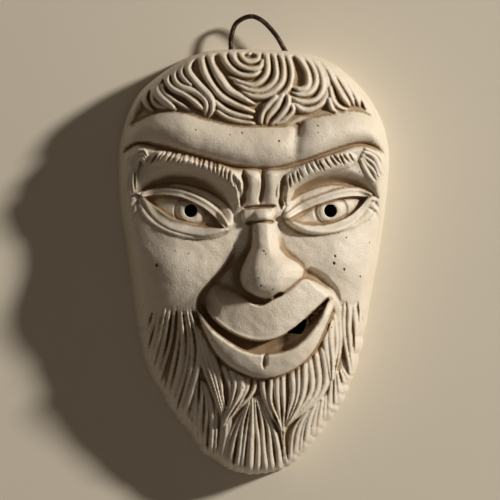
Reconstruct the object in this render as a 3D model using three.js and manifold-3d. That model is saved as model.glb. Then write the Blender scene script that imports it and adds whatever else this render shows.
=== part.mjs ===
// A cast plaster wall mask: a grinning bearded theatre face with a hollow back, and a bent wire loop
// at its crown to hang it by. Millimetres. The mask lies on the flat ring of its back: X runs to the
// right of the face as it is seen, Y from the beard to the crown, Z out of the face.
import * as THREE from "three";
import { mergeVertices } from "three/addons/utils/BufferGeometryUtils.js";
import Module from "manifold-3d";

// Driving sizes
const MASK_HEIGHT = 230; // beard tip to the top of the hair
const MASK_WIDTH = 147; // over the temples
const MASK_DEPTH = 61; // back ring to the tip of the nose
const PLASTER_WALL = 12.5; // ground of the carving to the hollow behind it
const RIM_WIDTH = 11; // flat ring that the mask rests on
const HOLLOW_LIP = 7; // height at which the hollow starts to curve in
const SIDE_DRAFT = 1.2; // lean of the side wall at the crown and the beard
const TEMPLE_DRAFT = 1.3; // further lean where the wall faces sideways
const PUPIL_DIAMETER = 7;
const WIRE_DIAMETER = 2.6;
const WIRE_LEVEL = 10; // middle of the wire above the back
const LOOP_SPAN = 28.7; // between the wire's legs where they leave the plaster
const LOOP_RISE = 17; // middle of the wire at the top of the loop, above the crown
const LOOP_OFFSET = 1.9; // middle of the loop from the middle of the mask
const SOCKET_DEPTH = 9;
const SOCKET_CLEARANCE = 0.3;

// The carving is laid out on a squared front drawing and a scale of depth steps, so that it keeps its
// proportions. Places are squares to the right of the middle line and above the beard's tip.
const SQUARES_WIDE = 272;
const SQUARES_HIGH = 426;
const DEPTH_STEPS = 61;
const squareX = MASK_WIDTH / SQUARES_WIDE;
const squareY = MASK_HEIGHT / SQUARES_HIGH;
const depthStep = MASK_DEPTH / DEPTH_STEPS;

// How finely the surfaces are divided
const CURVE_STEPS = 6; // pieces of a curve between two drawn points
const RING_POINTS = 156; // around the outline
const NET_POINTS = 3700; // on the carved face
const SAMPLE_STEP = 1; // squares between the places where the carving is measured
const SWAP_ROUNDS = 6; // passes that turn the net's edges along the carving
const DRILL_SIDES = 24;
const WIRE_SIDES = 8;
const WIRE_STEPS = 40;
const HOLLOW_POINTS = 72; // around the hollow
const HOLLOW_SHARES = [1, 0.93, 0.8, 0.6, 0.35];

// Outline, anticlockwise from the crown
const OUTLINE = [
  [1, 425], [-47, 423], [-79, 410], [-111, 386], [-125, 364], [-132, 343], [-136, 322], [-136, 287],
  [-133, 257], [-129, 227], [-123, 187], [-118, 147], [-109, 109], [-91, 74], [-68, 42], [-54, 22],
  [-39, 11], [-18, 1], [8, -1], [33, 6], [51, 22], [68, 42], [86, 67], [99, 95], [107, 122],
  [112, 147], [118, 185], [124, 217], [129, 250], [133, 282], [135, 317], [131, 344], [122, 365],
  [110, 383], [92, 401], [74, 413], [46, 422],
];

// Depth of the plain ground on the middle line and at the sides, as [height in squares, depth]
const MIDDLE_DEPTH = [
  [-1, 23], [17, 28], [42, 33], [72, 38], [100, 41.5], [132, 44], [172, 44], [202, 43], [242, 42.5],
  [282, 43], [322, 45], [345, 44], [372, 42.5], [392, 40], [412, 34], [425, 27], [432, 24],
];
const SIDE_DEPTH = [[-1, 19], [72, 21], [142, 23], [222, 25], [282, 27], [342, 28], [382, 25], [432, 22]];
const GROUND_POWER = 2.6; // how squarely the ground turns to the sides
const CREASE_DROP = 6; // the side wall stops this far under the ground's side depth
const EDGE_ROUND = 9; // squares over which the ground rounds down to the side wall

// The rolled band over the forehead
const BAND_TOP = [
  [-146, 326], [-130, 343], [-113, 352], [-94, 359], [-72, 359], [-45, 351], [-13, 345], [31, 345],
  [53, 352], [79, 358], [100, 361], [119, 354], [129, 346], [146, 322],
];
const BAND_LOW = [
  [-150, 277], [-134, 312], [-124, 323], [-111, 328], [-89, 324], [-59, 316], [-29, 308], [1, 304],
  [26, 305], [51, 312], [76, 321], [96, 327.5], [112, 328.5], [125, 322], [135, 308], [146, 282],
];
const BAND_BULGE = 6;
const BAND_CREST = 0.55; // share of the way down the band at which it stands highest
const BAND_FALL = 0.85; // share of its height that it loses from there to its lower edge
const BAND_END = { height: 0.55, reach: 14 }; // share of its height at the crease, and where it is full
const BAND_DENT = { line: [[44, 352], [42, 337], [40, 320]], half: 5, depth: 1.1 };

// Brows: a raised line with notches that lean from the first angle to the last
const BROWS = [
  {
    line: [[-107, 309], [-89, 314], [-64, 312], [-42, 305], [-24, 295], [-14, 282], [-16, 269]],
    notches: 17,
    lean: [55, 100],
  },
  {
    line: [[30, 268], [32, 285], [44, 296], [64, 305], [84, 311], [104, 315]],
    notches: 12,
    lean: [95, 130],
  },
];
const BROW_HALF = 9;
const BROW_HEIGHT = 2.8;
const BROW_ENDS = [0.1, 0.1];
const NOTCH = { half: 2, reach: 6.2, depth: 1.9, lift: 2, first: 0.03, span: 0.94, ends: [0.3, 0.3] };

// Eyes: the opening's two edges, the outer edges of both lids, and the pupil
const EYES = [
  {
    top: [[-109, 276], [-94, 278.5], [-74, 276.5], [-55, 269], [-40, 258], [-29, 245]],
    low: [[-109, 276], [-97, 266], [-82, 255.5], [-64, 249], [-46, 245.5], [-29, 245]],
    lid: [[-116, 280], [-96, 285], [-74, 284], [-52, 276], [-34, 263.5], [-23, 248]],
    bag: [[-112, 277], [-102, 259], [-86, 246], [-64, 239], [-44, 237], [-24, 243]],
    pupil: [-63, 262],
    socket: { at: [-67, 270], size: [47, 31], turn: -10, depth: 8.5 },
    globe: { at: [-67, 262], size: [48, 26], turn: -14, height: 6.4 },
    cheek: { at: [-76, 212], size: [40, 38], turn: 20, height: 5 },
  },
  {
    top: [[33, 254], [49, 263], [66, 270], [83, 275], [98, 277], [112, 276]],
    low: [[33, 254], [49, 248.5], [71, 249], [91, 256], [103, 265], [112, 276]],
    lid: [[27, 257], [46, 270], [66, 278.5], [86, 284.5], [102, 285.5], [118, 279]],
    bag: [[29, 252], [46, 241], [68, 238.5], [89, 244], [105, 256], [116, 274]],
    pupil: [75, 262.5],
    socket: { at: [76, 271], size: [44, 29], turn: 6, depth: 7.4 },
    globe: { at: [74, 264], size: [46, 24], turn: 10, height: 5.6 },
    cheek: { at: [86, 216], size: [34, 34], turn: -15, height: 4.2 },
  },
];
const SOCKET_EDGE = [0.66, 1.14]; // from the flat of a socket to its edge, as shares of its size
const EYE_DROP = 1.8; // from a lid's edge down to the eyeball
const LID = { height: 1.5, brim: 0.9, brimAt: 0.72, brimHalf: 0.22, full: 5 };
const IRIS = { radius: 15.3, half: 2.2, depth: 0.8 };

// Folds and furrows: a line, its half width, its depth and how its ends run out
const FURROWS = [
  { line: [[-11, 302], [-8, 286], [-13, 266]], half: 4.6, depth: 4, ends: [0.2, 0.2] },
  { line: [[30, 297], [27, 282], [26, 263]], half: 4, depth: 3.6, ends: [0.2, 0.2] },
  { line: [[8, 302], [9, 286], [5, 267]], half: 3.4, depth: 2.6, ends: [0.15, 0.2] },
  { line: [[-113, 324], [-114, 312], [-108, 302]], half: 3, depth: 2, ends: [0.12, 0.12] },
  { line: [[101, 320], [105, 314], [105, 306]], half: 3, depth: 1.6, ends: [0.12, 0.12] },
  { line: [[48, 204], [64, 199], [79, 187], [87, 172]], half: 5.5, depth: 3.2, ends: [0.1, 0.3] },
  { line: [[115, 280], [119, 278], [123, 273]], half: 2.4, depth: 1.6, ends: [0.1, 0.3] },
  { line: [[114, 273], [120, 269], [124, 261]], half: 2.4, depth: 1.6, ends: [0.1, 0.3] },
  { line: [[112, 266], [120, 260], [123, 250]], half: 2.4, depth: 1.6, ends: [0.1, 0.3] },
  { line: [[-112, 272], [-118, 269], [-123, 260]], half: 2.4, depth: 1.6, ends: [0.1, 0.3] },
  { line: [[-110, 266], [-116, 260], [-120, 248]], half: 2.4, depth: 1.6, ends: [0.1, 0.3] },
  { line: [[-114, 278], [-121, 277], [-127, 271]], half: 2.4, depth: 1.6, ends: [0.1, 0.3] },
];

// The knot between the brows and the collar across the root of the nose
const KNOT_BULGES = [
  { at: [-2, 282], size: [9, 24], height: 2.4 },
  { at: [17, 282], size: [8, 24], height: 2.4 },
  { at: [8, 299], size: [5, 5], height: -1.8 },
];
const COLLAR = { line: [[-13, 257], [-4, 257.5], [8, 259], [21, 259]], half: 6.5, height: 3 };
const COLLAR_GROOVES = [[[-11, 265], [4, 266], [22, 267]], [[-8, 250], [6, 252], [20, 251]]];
const COLLAR_GROOVE = { half: 2.2, depth: 2 };

// Where the cheeks turn into the sides, as [height in squares, left turn, right turn]
const TURN = [
  [40, -84, 84], [100, -99, 101], [150, -106, 110], [200, -111, 117], [230, -116, 121], [272, -123, 126],
  [310, -128, 128], [340, -134, 132],
];
const TURN_SLOPE = 0.24;
const TURN_ROUND = 2;

// The skin bulges under the band and fades downwards
const BROW_SWELL = { height: 3.4, rise: 7, flat: 6, fade: 18.4, from: 242, to: 272 };

// The nose from its tip to the brow, as [height in squares, left edge, crest, right edge, rise]
const NOSE = [
  [171, 4, 7, 10, 0], [173, -1.5, 7, 14.5, 6.5], [176, -5, 8, 19, 11], [181, -9.5, 10, 28, 15],
  [187, -12.8, 12, 38, 17.4], [196, -14.5, 14, 48.5, 18.6], [205, -14, 15.5, 50, 18.6],
  [212, -11, 16, 45, 17.6], [218, -8, 15, 36, 16], [226, -4.5, 13.5, 30, 13.6],
  [236, -3.5, 12.5, 28, 10.6], [246, -3.5, 12, 27, 7.8], [256, -4, 11, 24, 5], [264, -4, 10, 22, 3],
  [272, -3, 9, 20, 1],
];
const BRIDGE_FROM = [206, 226]; // squares up over which the round tip becomes the bridge
const NOSE_SECTION = { left: 2.2, tip: [2.1, 0.5], bridge: [1.6, 0.85] };
const NOSE_FILLET = { left: 0.6, right: 2, from: 10, to: 24 };
const NOSE_FOOT = -1; // where the nose starts, from the ground

// The mouth: the upper lip's slab, the slot below it and the lower lip
const SLAB_TOP = [
  [-51, 172], [-50, 184], [-41, 194], [-16, 183], [4, 171], [20, 179], [34, 187], [49, 197], [66, 191],
  [78, 181],
];
const MOUTH_TOP = [
  [-51, 172], [-42, 158], [-26, 145], [-9, 137], [8, 134.5], [26, 139], [44, 151], [58, 164], [72, 177],
];
const LIP_INNER = [
  [-51, 160], [-40, 147], [-24, 135], [-9, 126.5], [8, 123], [31, 126], [46, 135], [61, 153], [73, 175],
];
const LIP_OUTER = [
  [-58, 169], [-48, 148], [-36, 126], [-16, 110], [8, 99.5], [34, 104.5], [56, 122], [71, 150], [80, 176],
];
const LIP_NOTCH = [[10.5, 125], [10.5, 116], [9, 108]];
const OPEN_MOUTH = [[31, 143], [38, 142], [47, 142], [51.5, 153.5], [49, 156.5], [39, 148.5]];
const MOUTH_MIDDLE = 8;
const SLAB = { half: 72, foot: 2, swell: 5.6, fall: 3.4, edge: 0.28 };
const SLOT = { floor: -9, left: 3.5, middle: 8 };
const LIP = { foot: 1.2, swell: 5.8, corner: 0.35, notch: 2.8 };
const CHEEK_FOLD = [[-22, 226], [-30, 211], [-43, 196], [-54, 183], [-58, 172], [-57, 155]];
const VALLEY_DEPTH = 5.5;

// Locks: both edges from root to tip, the number of strands, and the level of root and tip
const GROOVE = 3.4;
const STRAND_FULLNESS = 0.56; // half width of a strand, as a share of its part of the lock
const STRAND_LEAST_HALF = 1.35;
const STRAND_STEPS = 20;
const LOCK_SWELL = 0.9;
const SEED = 11;
const BEARD_EDGE = [
  [-144, 172], [-104, 169], [-74, 170], [-60, 166], [-48, 142], [-36, 124], [-16, 108], [8, 98],
  [34, 103], [57, 121], [73, 148], [81, 174], [96, 175], [114, 176], [146, 180],
];
const BEARD = [
  // lower row
  {
    left: [[-7, 76], [-24, 44], [-33, 6]],
    right: [[5, 84], [22, 47], [29, 6]],
    strands: 9,
    level: [-1.2, 0.2],
  },
  {
    left: [[-55, 98], [-61, 67], [-58, 26]],
    right: [[-46, 94], [-35, 67], [-33, 34]],
    strands: 5,
    level: [-1, 0],
  },
  {
    left: [[52, 68], [35, 40], [32, 7]],
    right: [[72, 84], [72, 60], [68, 36]],
    strands: 7,
    level: [-1, 0],
  },
  {
    left: [[-68, 74], [-70, 60], [-64, 40]],
    right: [[-55, 88], [-60, 62], [-57, 28]],
    strands: 3,
    level: [-1.6, -1],
  },
  {
    left: [[-48, 92], [-32, 60], [-32, 32]],
    right: [[-32, 72], [-22, 56], [-30, 12]],
    strands: 3,
    level: [-1.6, -0.6],
  },
  {
    left: [[20, 60], [26, 42], [30, 6]],
    right: [[36, 62], [30, 40], [34, 6]],
    strands: 2,
    level: [-1.4, -0.6],
  },
  {
    left: [[75, 106], [72, 80], [72, 52]],
    right: [[89, 106], [98, 92], [100, 74]],
    strands: 5,
    level: [-0.8, 0],
  },
  // sides
  {
    left: [[-113, 170], [-120, 144], [-123, 120]],
    right: [[-98, 169], [-106, 142], [-117, 104]],
    strands: 3,
    level: [-0.4, -0.4],
  },
  {
    left: [[110, 174], [112, 140], [105, 98]],
    right: [[118, 176], [117, 147], [110, 114]],
    strands: 2,
    level: [-0.4, -0.4],
  },
  {
    left: [[-98, 169], [-106, 142], [-117, 104]],
    right: [[-76, 169], [-82, 127], [-96, 78]],
    strands: 5,
    level: [0, 0],
  },
  {
    left: [[-75, 169], [-78, 127], [-91, 68]],
    right: [[-63, 172], [-51, 117], [-68, 56]],
    strands: 5,
    level: [0.2, 0.6],
  },
  // under the lip
  {
    left: [[-60, 156], [-51, 110], [-33, 60]],
    right: [[-42, 130], [-33, 104], [-27, 70]],
    strands: 4,
    level: [0, 0.6],
  },
  {
    left: [[-34, 114], [-25, 87], [-32, 52]],
    right: [[4, 101], [-1, 82], [-30, 50]],
    strands: 5,
    level: [0.2, 0.8],
  },
  {
    left: [[5, 100], [8, 76], [26, 46]],
    right: [[32, 104], [31, 77], [29, 46]],
    strands: 4,
    level: [0.2, 0.8],
  },
  {
    left: [[34, 106], [34, 80], [30, 50]],
    right: [[70, 132], [71, 87], [34, 52]],
    strands: 6,
    level: [0.2, 0.8],
  },
  {
    left: [[69, 144], [68, 122], [75, 96]],
    right: [[84, 174], [87, 137], [79, 96]],
    strands: 4,
    level: [0.2, 0.6],
  },
  {
    left: [[86, 172], [86, 142], [96, 90]],
    right: [[110, 175], [112, 137], [104, 92]],
    strands: 5,
    level: [0, 0.4],
  },
];
const TEMPLE_HAIR = [
  {
    left: [[-110, 325], [-108, 316], [-114, 306]],
    right: [[-102, 322], [-102, 314], [-108, 304]],
    strands: 1,
    level: [0, 0],
  },
  {
    left: [[-132, 312], [-134, 296], [-130, 280]],
    right: [[-114, 322], [-117, 308], [-108, 292]],
    strands: 4,
    level: [-0.5, -0.5],
  },
  {
    left: [[102, 323], [108, 312], [108, 294]],
    right: [[126, 321], [133, 306], [130, 286]],
    strands: 5,
    level: [-0.3, -0.5],
  },
];

// Single strands of the hair: half width, then points from root to tip
const HAIR_GROOVE = 4.6;
const HAIR_TAPER = [0.8, 1, 1.06, 0.98, 0.9, 0.55]; // share of the half width from root to tip
const HAIR_FULLNESS = 1.04;
const HAIR_RISE = { height: 1.6, reach: 12 }; // the hair lifts over the band's edge
const HAIR_OVERHANG = 8; // squares that its ends may reach over the band
const LIP_GROWTH = 14; // squares by which the beard under the lip is full grown at once
const HAIR = [
  // left side
  [2.4, [[-113, 385], [-124, 363], [-131, 343]]],
  [2.2, [[-119, 375], [-127, 360], [-133, 346]]],
  [2.6, [[-107, 390], [-117, 372], [-121, 348]]],
  [2.8, [[-104.5, 387], [-108, 374], [-104, 365], [-96, 358]]],
  [2.8, [[-100, 380], [-100, 372], [-95, 366], [-83, 362]]],
  [2.6, [[-91, 388], [-88, 378], [-76, 369], [-62, 361]]],
  // sweep from the crown to the left of the band
  [4.2, [[-88, 402], [-96, 390], [-97, 382], [-91, 373], [-75, 360]]],
  [3.2, [[-83, 402], [-86, 392], [-81, 383], [-65, 374], [-48, 360]]],
  [3.6, [[-75, 410], [-79, 396], [-73, 385], [-58, 379], [-47, 368], [-48, 352]]],
  [2.8, [[-70, 408], [-72, 398], [-67, 390], [-59, 384]]],
  [4.2, [[-63, 413], [-65, 401], [-57, 389], [-42, 372], [-41, 360], [-46, 352]]],
  [3.8, [[-53, 417], [-48, 397], [-35, 377], [-20, 367], [0, 359]]],
  [3.6, [[-44, 419], [-40, 404], [-27, 383], [-14, 374], [0, 367]]],
  // curl at the crown
  [3.4, [[-33, 424], [-28, 409], [-16, 397], [-2, 395], [8, 400]]],
  [3.2, [[-23, 424], [-18, 409], [-7, 402], [5, 403], [9, 412]]],
  [3.0, [[-14, 424], [-12, 414], [-5, 409], [3, 412], [2, 419]]],
  [2.8, [[-32, 365], [-20, 358], [-8, 354], [2, 353]]],
  [2.6, [[-26, 356], [-13, 350], [1, 347]]],
  // locks that swing under the curl
  [3.2, [[10, 424], [13, 410], [12, 396], [2, 386], [-10, 387], [-25, 394]]],
  [3.2, [[17, 423], [21, 408], [21, 392], [10, 381], [-4, 380], [-20, 388]]],
  [3.4, [[25, 420], [29, 404], [27, 388], [14, 376], [0, 374], [-14, 380]]],
  [3.2, [[32, 418], [37, 400], [34, 383], [22, 372], [8, 366]]],
  // lock right of the middle
  [3.4, [[42, 418], [52, 400], [53, 386], [46, 381], [37, 384]]],
  [3.4, [[49, 418], [59, 402], [61, 388], [54, 378], [44, 376], [35, 379]]],
  [3.6, [[57, 415], [66, 399], [68, 383], [60, 371], [46, 369], [33, 375]]],
  [3.8, [[66, 408], [71, 396], [72, 378], [63, 365], [49, 361], [34, 371]]],
  // right side
  [3.4, [[68, 412], [76, 396], [86, 377], [95, 364]]],
  [3.2, [[76, 408], [84, 394], [94, 377], [99, 364]]],
  [3.2, [[84, 403], [93, 389], [101, 374], [104, 364]]],
  [3.0, [[92, 396], [101, 385], [108, 372], [111, 360]]],
  [3.0, [[102, 389], [110, 378], [116, 366], [119, 355]]],
  [2.6, [[112, 378], [119, 367], [126, 350]]],
  [3.0, [[74, 386], [78, 370], [86, 363], [95, 362]]],
  [2.8, [[73, 374], [77, 362], [86, 358]]],
  // tuft that falls on the band
  [3.0, [[23, 376], [11, 362], [7, 352], [8, 344]]],
  [3.2, [[29, 378], [22, 365], [14, 354], [11, 344]]],
  [3.2, [[33, 377], [33, 366], [25, 354], [14, 344]]],
  [3.0, [[36, 368], [38, 360], [30, 351], [19, 345]]],
  [2.8, [[43, 362], [46, 358], [38, 351], [27, 346]]],
];

// Middle line of the wire loop, as shares of its span and rise, from the left leg to the right
const LOOP_LINE = [[-1, 0], [-0.99, 0.34], [-0.8, 0.78], [-0.3, 1], [0.16, 0.88], [0.66, 0.46], [1, 0]];

const clamp = (value, low = 0, high = 1) => Math.min(high, Math.max(low, value));
const mix = (a, b, share) => a + (b - a) * share;

// 0 before from, 1 after to, and a smooth rise between
function ramp(value, from, to) {
  const t = clamp((value - from) / (to - from));
  return t * t * (3 - 2 * t);
}

// The larger of two heights, with the corner between them filled over the given width
function blend(a, b, width) {
  const share = clamp(0.5 + (0.5 * (a - b)) / width);
  return mix(b, a, share) + width * share * (1 - share);
}

// A column of a table whose rows start with a rising key
function lookUp(rows, key, column = 1) {
  const after = rows.findIndex((row) => row[0] >= key);
  if (after === 0) return rows[0][column];
  if (after < 0) return rows[rows.length - 1][column];
  const [a, b] = [rows[after - 1], rows[after]];
  return mix(a[column], b[column], (key - a[0]) / (b[0] - a[0]));
}

// Squared distance from the middle of a turned ellipse, 1 on its edge
function ellipse(x, y, { at, size, turn = 0 }) {
  const angle = THREE.MathUtils.degToRad(turn);
  const [dx, dy] = [x - at[0], y - at[1]];
  const u = (dx * Math.cos(angle) + dy * Math.sin(angle)) / size[0];
  const v = (-dx * Math.sin(angle) + dy * Math.cos(angle)) / size[1];
  return u * u + v * v;
}
const mound = (x, y, form) => Math.exp(-1.2 * ellipse(x, y, form));
const cap = (x, y, form) => Math.sqrt(clamp(1 - ellipse(x, y, form)));
const bowl = (x, y, form) => 1 - ramp(Math.sqrt(ellipse(x, y, form)), ...SOCKET_EDGE);

// A repeatable row of chance numbers
class Chance {
  constructor(seed) {
    this.state = seed;
  }

  pick(low, high) {
    this.state = (this.state * 16807) % 2147483647;
    return mix(low, high, this.state / 2147483647);
  }
}

// A smooth line through drawn points, kept as a fine polyline
class Line {
  constructor(points, closed = false) {
    const corners = points.map(([x, y]) => new THREE.Vector3(x, y, 0));
    const curve = new THREE.CatmullRomCurve3(corners, closed, "catmullrom", 0.5);
    const pieces = CURVE_STEPS * (closed ? points.length : points.length - 1);
    this.setPoints(curve.getPoints(pieces).map((p) => [p.x, p.y]));
  }

  static through(points) {
    const line = Object.create(Line.prototype);
    line.setPoints(points);
    return line;
  }

  setPoints(points) {
    this.points = points;
    this.along = [0];
    for (let i = 1; i < points.length; i++) {
      const step = Math.hypot(points[i][0] - points[i - 1][0], points[i][1] - points[i - 1][1]);
      this.along.push(this.along[i - 1] + step);
    }
    this.length = this.along[points.length - 1];
    this.flat = Float64Array.from(points.flat());
    this.low = [0, 1].map((axis) => Math.min(...points.map((p) => p[axis])));
    this.high = [0, 1].map((axis) => Math.max(...points.map((p) => p[axis])));
  }

  // Whether a place is within reach of the line's box
  reaches(x, y, reach) {
    return [x, y].every((value, axis) => value > this.low[axis] - reach && value < this.high[axis] + reach);
  }

  // Distance to the line, the share along it, and the side: 1 on its left, -1 on its right
  near(x, y) {
    const flat = this.flat;
    let best = Infinity;
    let goal = 0;
    let side = 1;
    for (let i = 2; i < flat.length; i += 2) {
      const ax = flat[i - 2];
      const ay = flat[i - 1];
      const dx = flat[i] - ax;
      const dy = flat[i + 1] - ay;
      const square = dx * dx + dy * dy + 1e-12;
      let t = ((x - ax) * dx + (y - ay) * dy) / square;
      t = t < 0 ? 0 : t > 1 ? 1 : t;
      const px = x - ax - t * dx;
      const py = y - ay - t * dy;
      const gap = px * px + py * py;
      if (gap < best) {
        best = gap;
        goal = i / 2 - 1 + t;
        side = dx * py - dy * px < 0 ? -1 : 1;
      }
    }
    const before = Math.min(Math.floor(goal), this.along.length - 2);
    const share = mix(this.along[before], this.along[before + 1], goal - before) / this.length;
    return { distance: Math.sqrt(best), share, side };
  }

  at(share) {
    const goal = share * this.length;
    let i = 1;
    while (i < this.points.length - 1 && this.along[i] < goal) i++;
    const t = (goal - this.along[i - 1]) / (this.along[i] - this.along[i - 1]);
    return [0, 1].map((axis) => mix(this.points[i - 1][axis], this.points[i][axis], t));
  }
}

// Whether a place lies inside a closed row of points
function isInside(x, y, points) {
  let inside = false;
  for (let i = 0, j = points.length - 1; i < points.length; j = i++) {
    const p = points[i];
    const q = points[j];
    if (p[1] > y !== q[1] > y && x < ((q[0] - p[0]) * (y - p[1])) / (q[1] - p[1]) + p[0]) inside = !inside;
  }
  return inside;
}

// The area between two lines that start at the same end
class Strip {
  constructor(first, second) {
    this.first = first;
    this.second = second;
    this.outline = [...first.points, ...[...second.points].reverse()];
    this.box = Line.through(this.outline);
  }

  // Distances to both lines and the share across from the first, or null outside
  across(x, y) {
    if (!this.box.reaches(x, y, 0) || !isInside(x, y, this.outline)) return null;
    const { distance: first, share: along } = this.first.near(x, y);
    const second = this.second.near(x, y).distance;
    return { first, second, share: first / (first + second), along };
  }
}

// How much of a line's height is left near its ends
function endShare(share, root, tip, power) {
  return Math.min(1, Math.sqrt(clamp(share / root)), clamp((1 - share) / tip) ** power);
}

// A raised line, 1 on its crest; its ends are the shares over which it runs out
class Ridge {
  constructor(points, half, ends = [0.12, 0.12], shape = 1) {
    Object.assign(this, { line: new Line(points), half, ends, shape });
  }

  height(x, y) {
    if (!this.line.reaches(x, y, this.half)) return 0;
    const { distance, share } = this.line.near(x, y);
    const left = endShare(share, this.ends[0], this.ends[1], 0.7);
    const half = this.half * Math.max(0.35, left);
    return left * clamp(1 - (distance / half) ** 2) ** this.shape;
  }
}

const LOCK_SECTION = { groove: GROOVE, round: 0.7, endDrop: 2 };
const HAIR_SECTION = { groove: HAIR_GROOVE, round: 0.6, endDrop: 2.6 };
const STRAND_ENDS = [0.07, 0.12, 0.5]; // shares over which it runs out at the root and the tip, and how

// One strand: a middle line, half widths at equal steps along it, and the heights of its root and tip
class Strand {
  constructor(line, halves, level, section, start = 0) {
    Object.assign(this, { line, halves, level, section, start });
    this.reach = Math.max(...halves);
  }

  // Its height over a place, which grows out of the skin over the first squares from the root's edge
  height(x, y, fromEdge) {
    if (!this.line.reaches(x, y, this.reach)) return -Infinity;
    const { distance, share } = this.line.near(x, y);
    const place = share * (this.halves.length - 1);
    const before = Math.min(Math.floor(place), this.halves.length - 2);
    const half = mix(this.halves[before], this.halves[before + 1], place - before);
    if (distance >= half) return -Infinity;
    const { groove, round, endDrop } = this.section;
    const sunk = groove * (1 - clamp(1 - (distance / half) ** 2) ** round);
    const ends = endDrop * (1 - endShare(share, ...STRAND_ENDS));
    const height = mix(this.level[0], this.level[1], share) - sunk - ends;
    return height * ramp(fromEdge - this.start, -1, 9);
  }
}

// A lock's strand between two shares of the way across, with a slight wave
function lockStrand(edges, [from, to], level, chance) {
  const crown = LOCK_SWELL * (1 - (from + to - 1) ** 2) + chance.pick(-0.5, 0.4);
  const sway = chance.pick(0.3, 0.9);
  const turns = chance.pick(0.7, 1.5);
  const phase = chance.pick(0, 1);
  const start = chance.pick(-2, 7);
  const points = [];
  const halves = [];
  for (let i = 0; i <= STRAND_STEPS; i++) {
    const share = i / STRAND_STEPS;
    const [a, b] = edges.map((edge) => edge.at(share));
    const lockWide = Math.hypot(b[0] - a[0], b[1] - a[1]);
    const wide = lockWide * (to - from);
    const wave = sway * Math.sin(2 * Math.PI * (share * turns + phase)) * clamp(wide / 4);
    const place = (from + to) / 2 + wave / Math.max(lockWide, 6);
    points.push([mix(a[0], b[0], place), mix(a[1], b[1], place)]);
    halves.push(Math.max(STRAND_FULLNESS * wide, STRAND_LEAST_HALF));
  }
  const crest = level.map((height) => height + crown);
  return new Strand(Line.through(points), halves, crest, LOCK_SECTION, start);
}

function lockStrands(rows) {
  const chance = new Chance(SEED);
  return rows.flatMap(({ left, right, strands, level }) => {
    const edges = [new Line(left), new Line(right)];
    const cuts = [0];
    for (let k = 0; k < strands; k++) cuts.push(cuts[k] + chance.pick(0.75, 1.3));
    const shares = cuts.map((cut) => cut / cuts[strands]);
    return shares.slice(1).map((to, k) => lockStrand(edges, [shares[k], to], level, chance));
  });
}

function hairStrands() {
  return HAIR.map(([half, points], k) => {
    const crest = 0.6 + 0.3 * (half - 3) + 0.4 * Math.sin(5 * k);
    const halves = HAIR_TAPER.map((share) => share * half * HAIR_FULLNESS);
    return new Strand(new Line(points), halves, [crest, crest - 0.5], HAIR_SECTION);
  });
}

// The highest of some strands over a place, or minus the groove where there is none
class Strands {
  constructor(strands, groove) {
    Object.assign(this, { strands, groove });
  }

  height(x, y, fromEdge = Infinity) {
    return this.strands.reduce((top, strand) => Math.max(top, strand.height(x, y, fromEdge)), -this.groove);
  }
}

// Points and outward directions around the outline, equally spaced
function ringAround(count) {
  const line = new Line(OUTLINE, true);
  const places = Array.from({ length: count }, (_, k) => line.at(k / count));
  return places.map((place, k) => {
    const before = places[(k + count - 1) % count];
    const after = places[(k + 1) % count];
    const out = new THREE.Vector2(after[1] - before[1], before[0] - after[0]).normalize();
    return { place, out };
  });
}

// Moves a ring inwards by a distance in millimetres
function insetRing(ring, distance) {
  return ring.map(({ place, out }) => {
    const inset = distance(out);
    return [place[0] - (out.x * inset) / squareX, place[1] - (out.y * inset) / squareY];
  });
}

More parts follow.
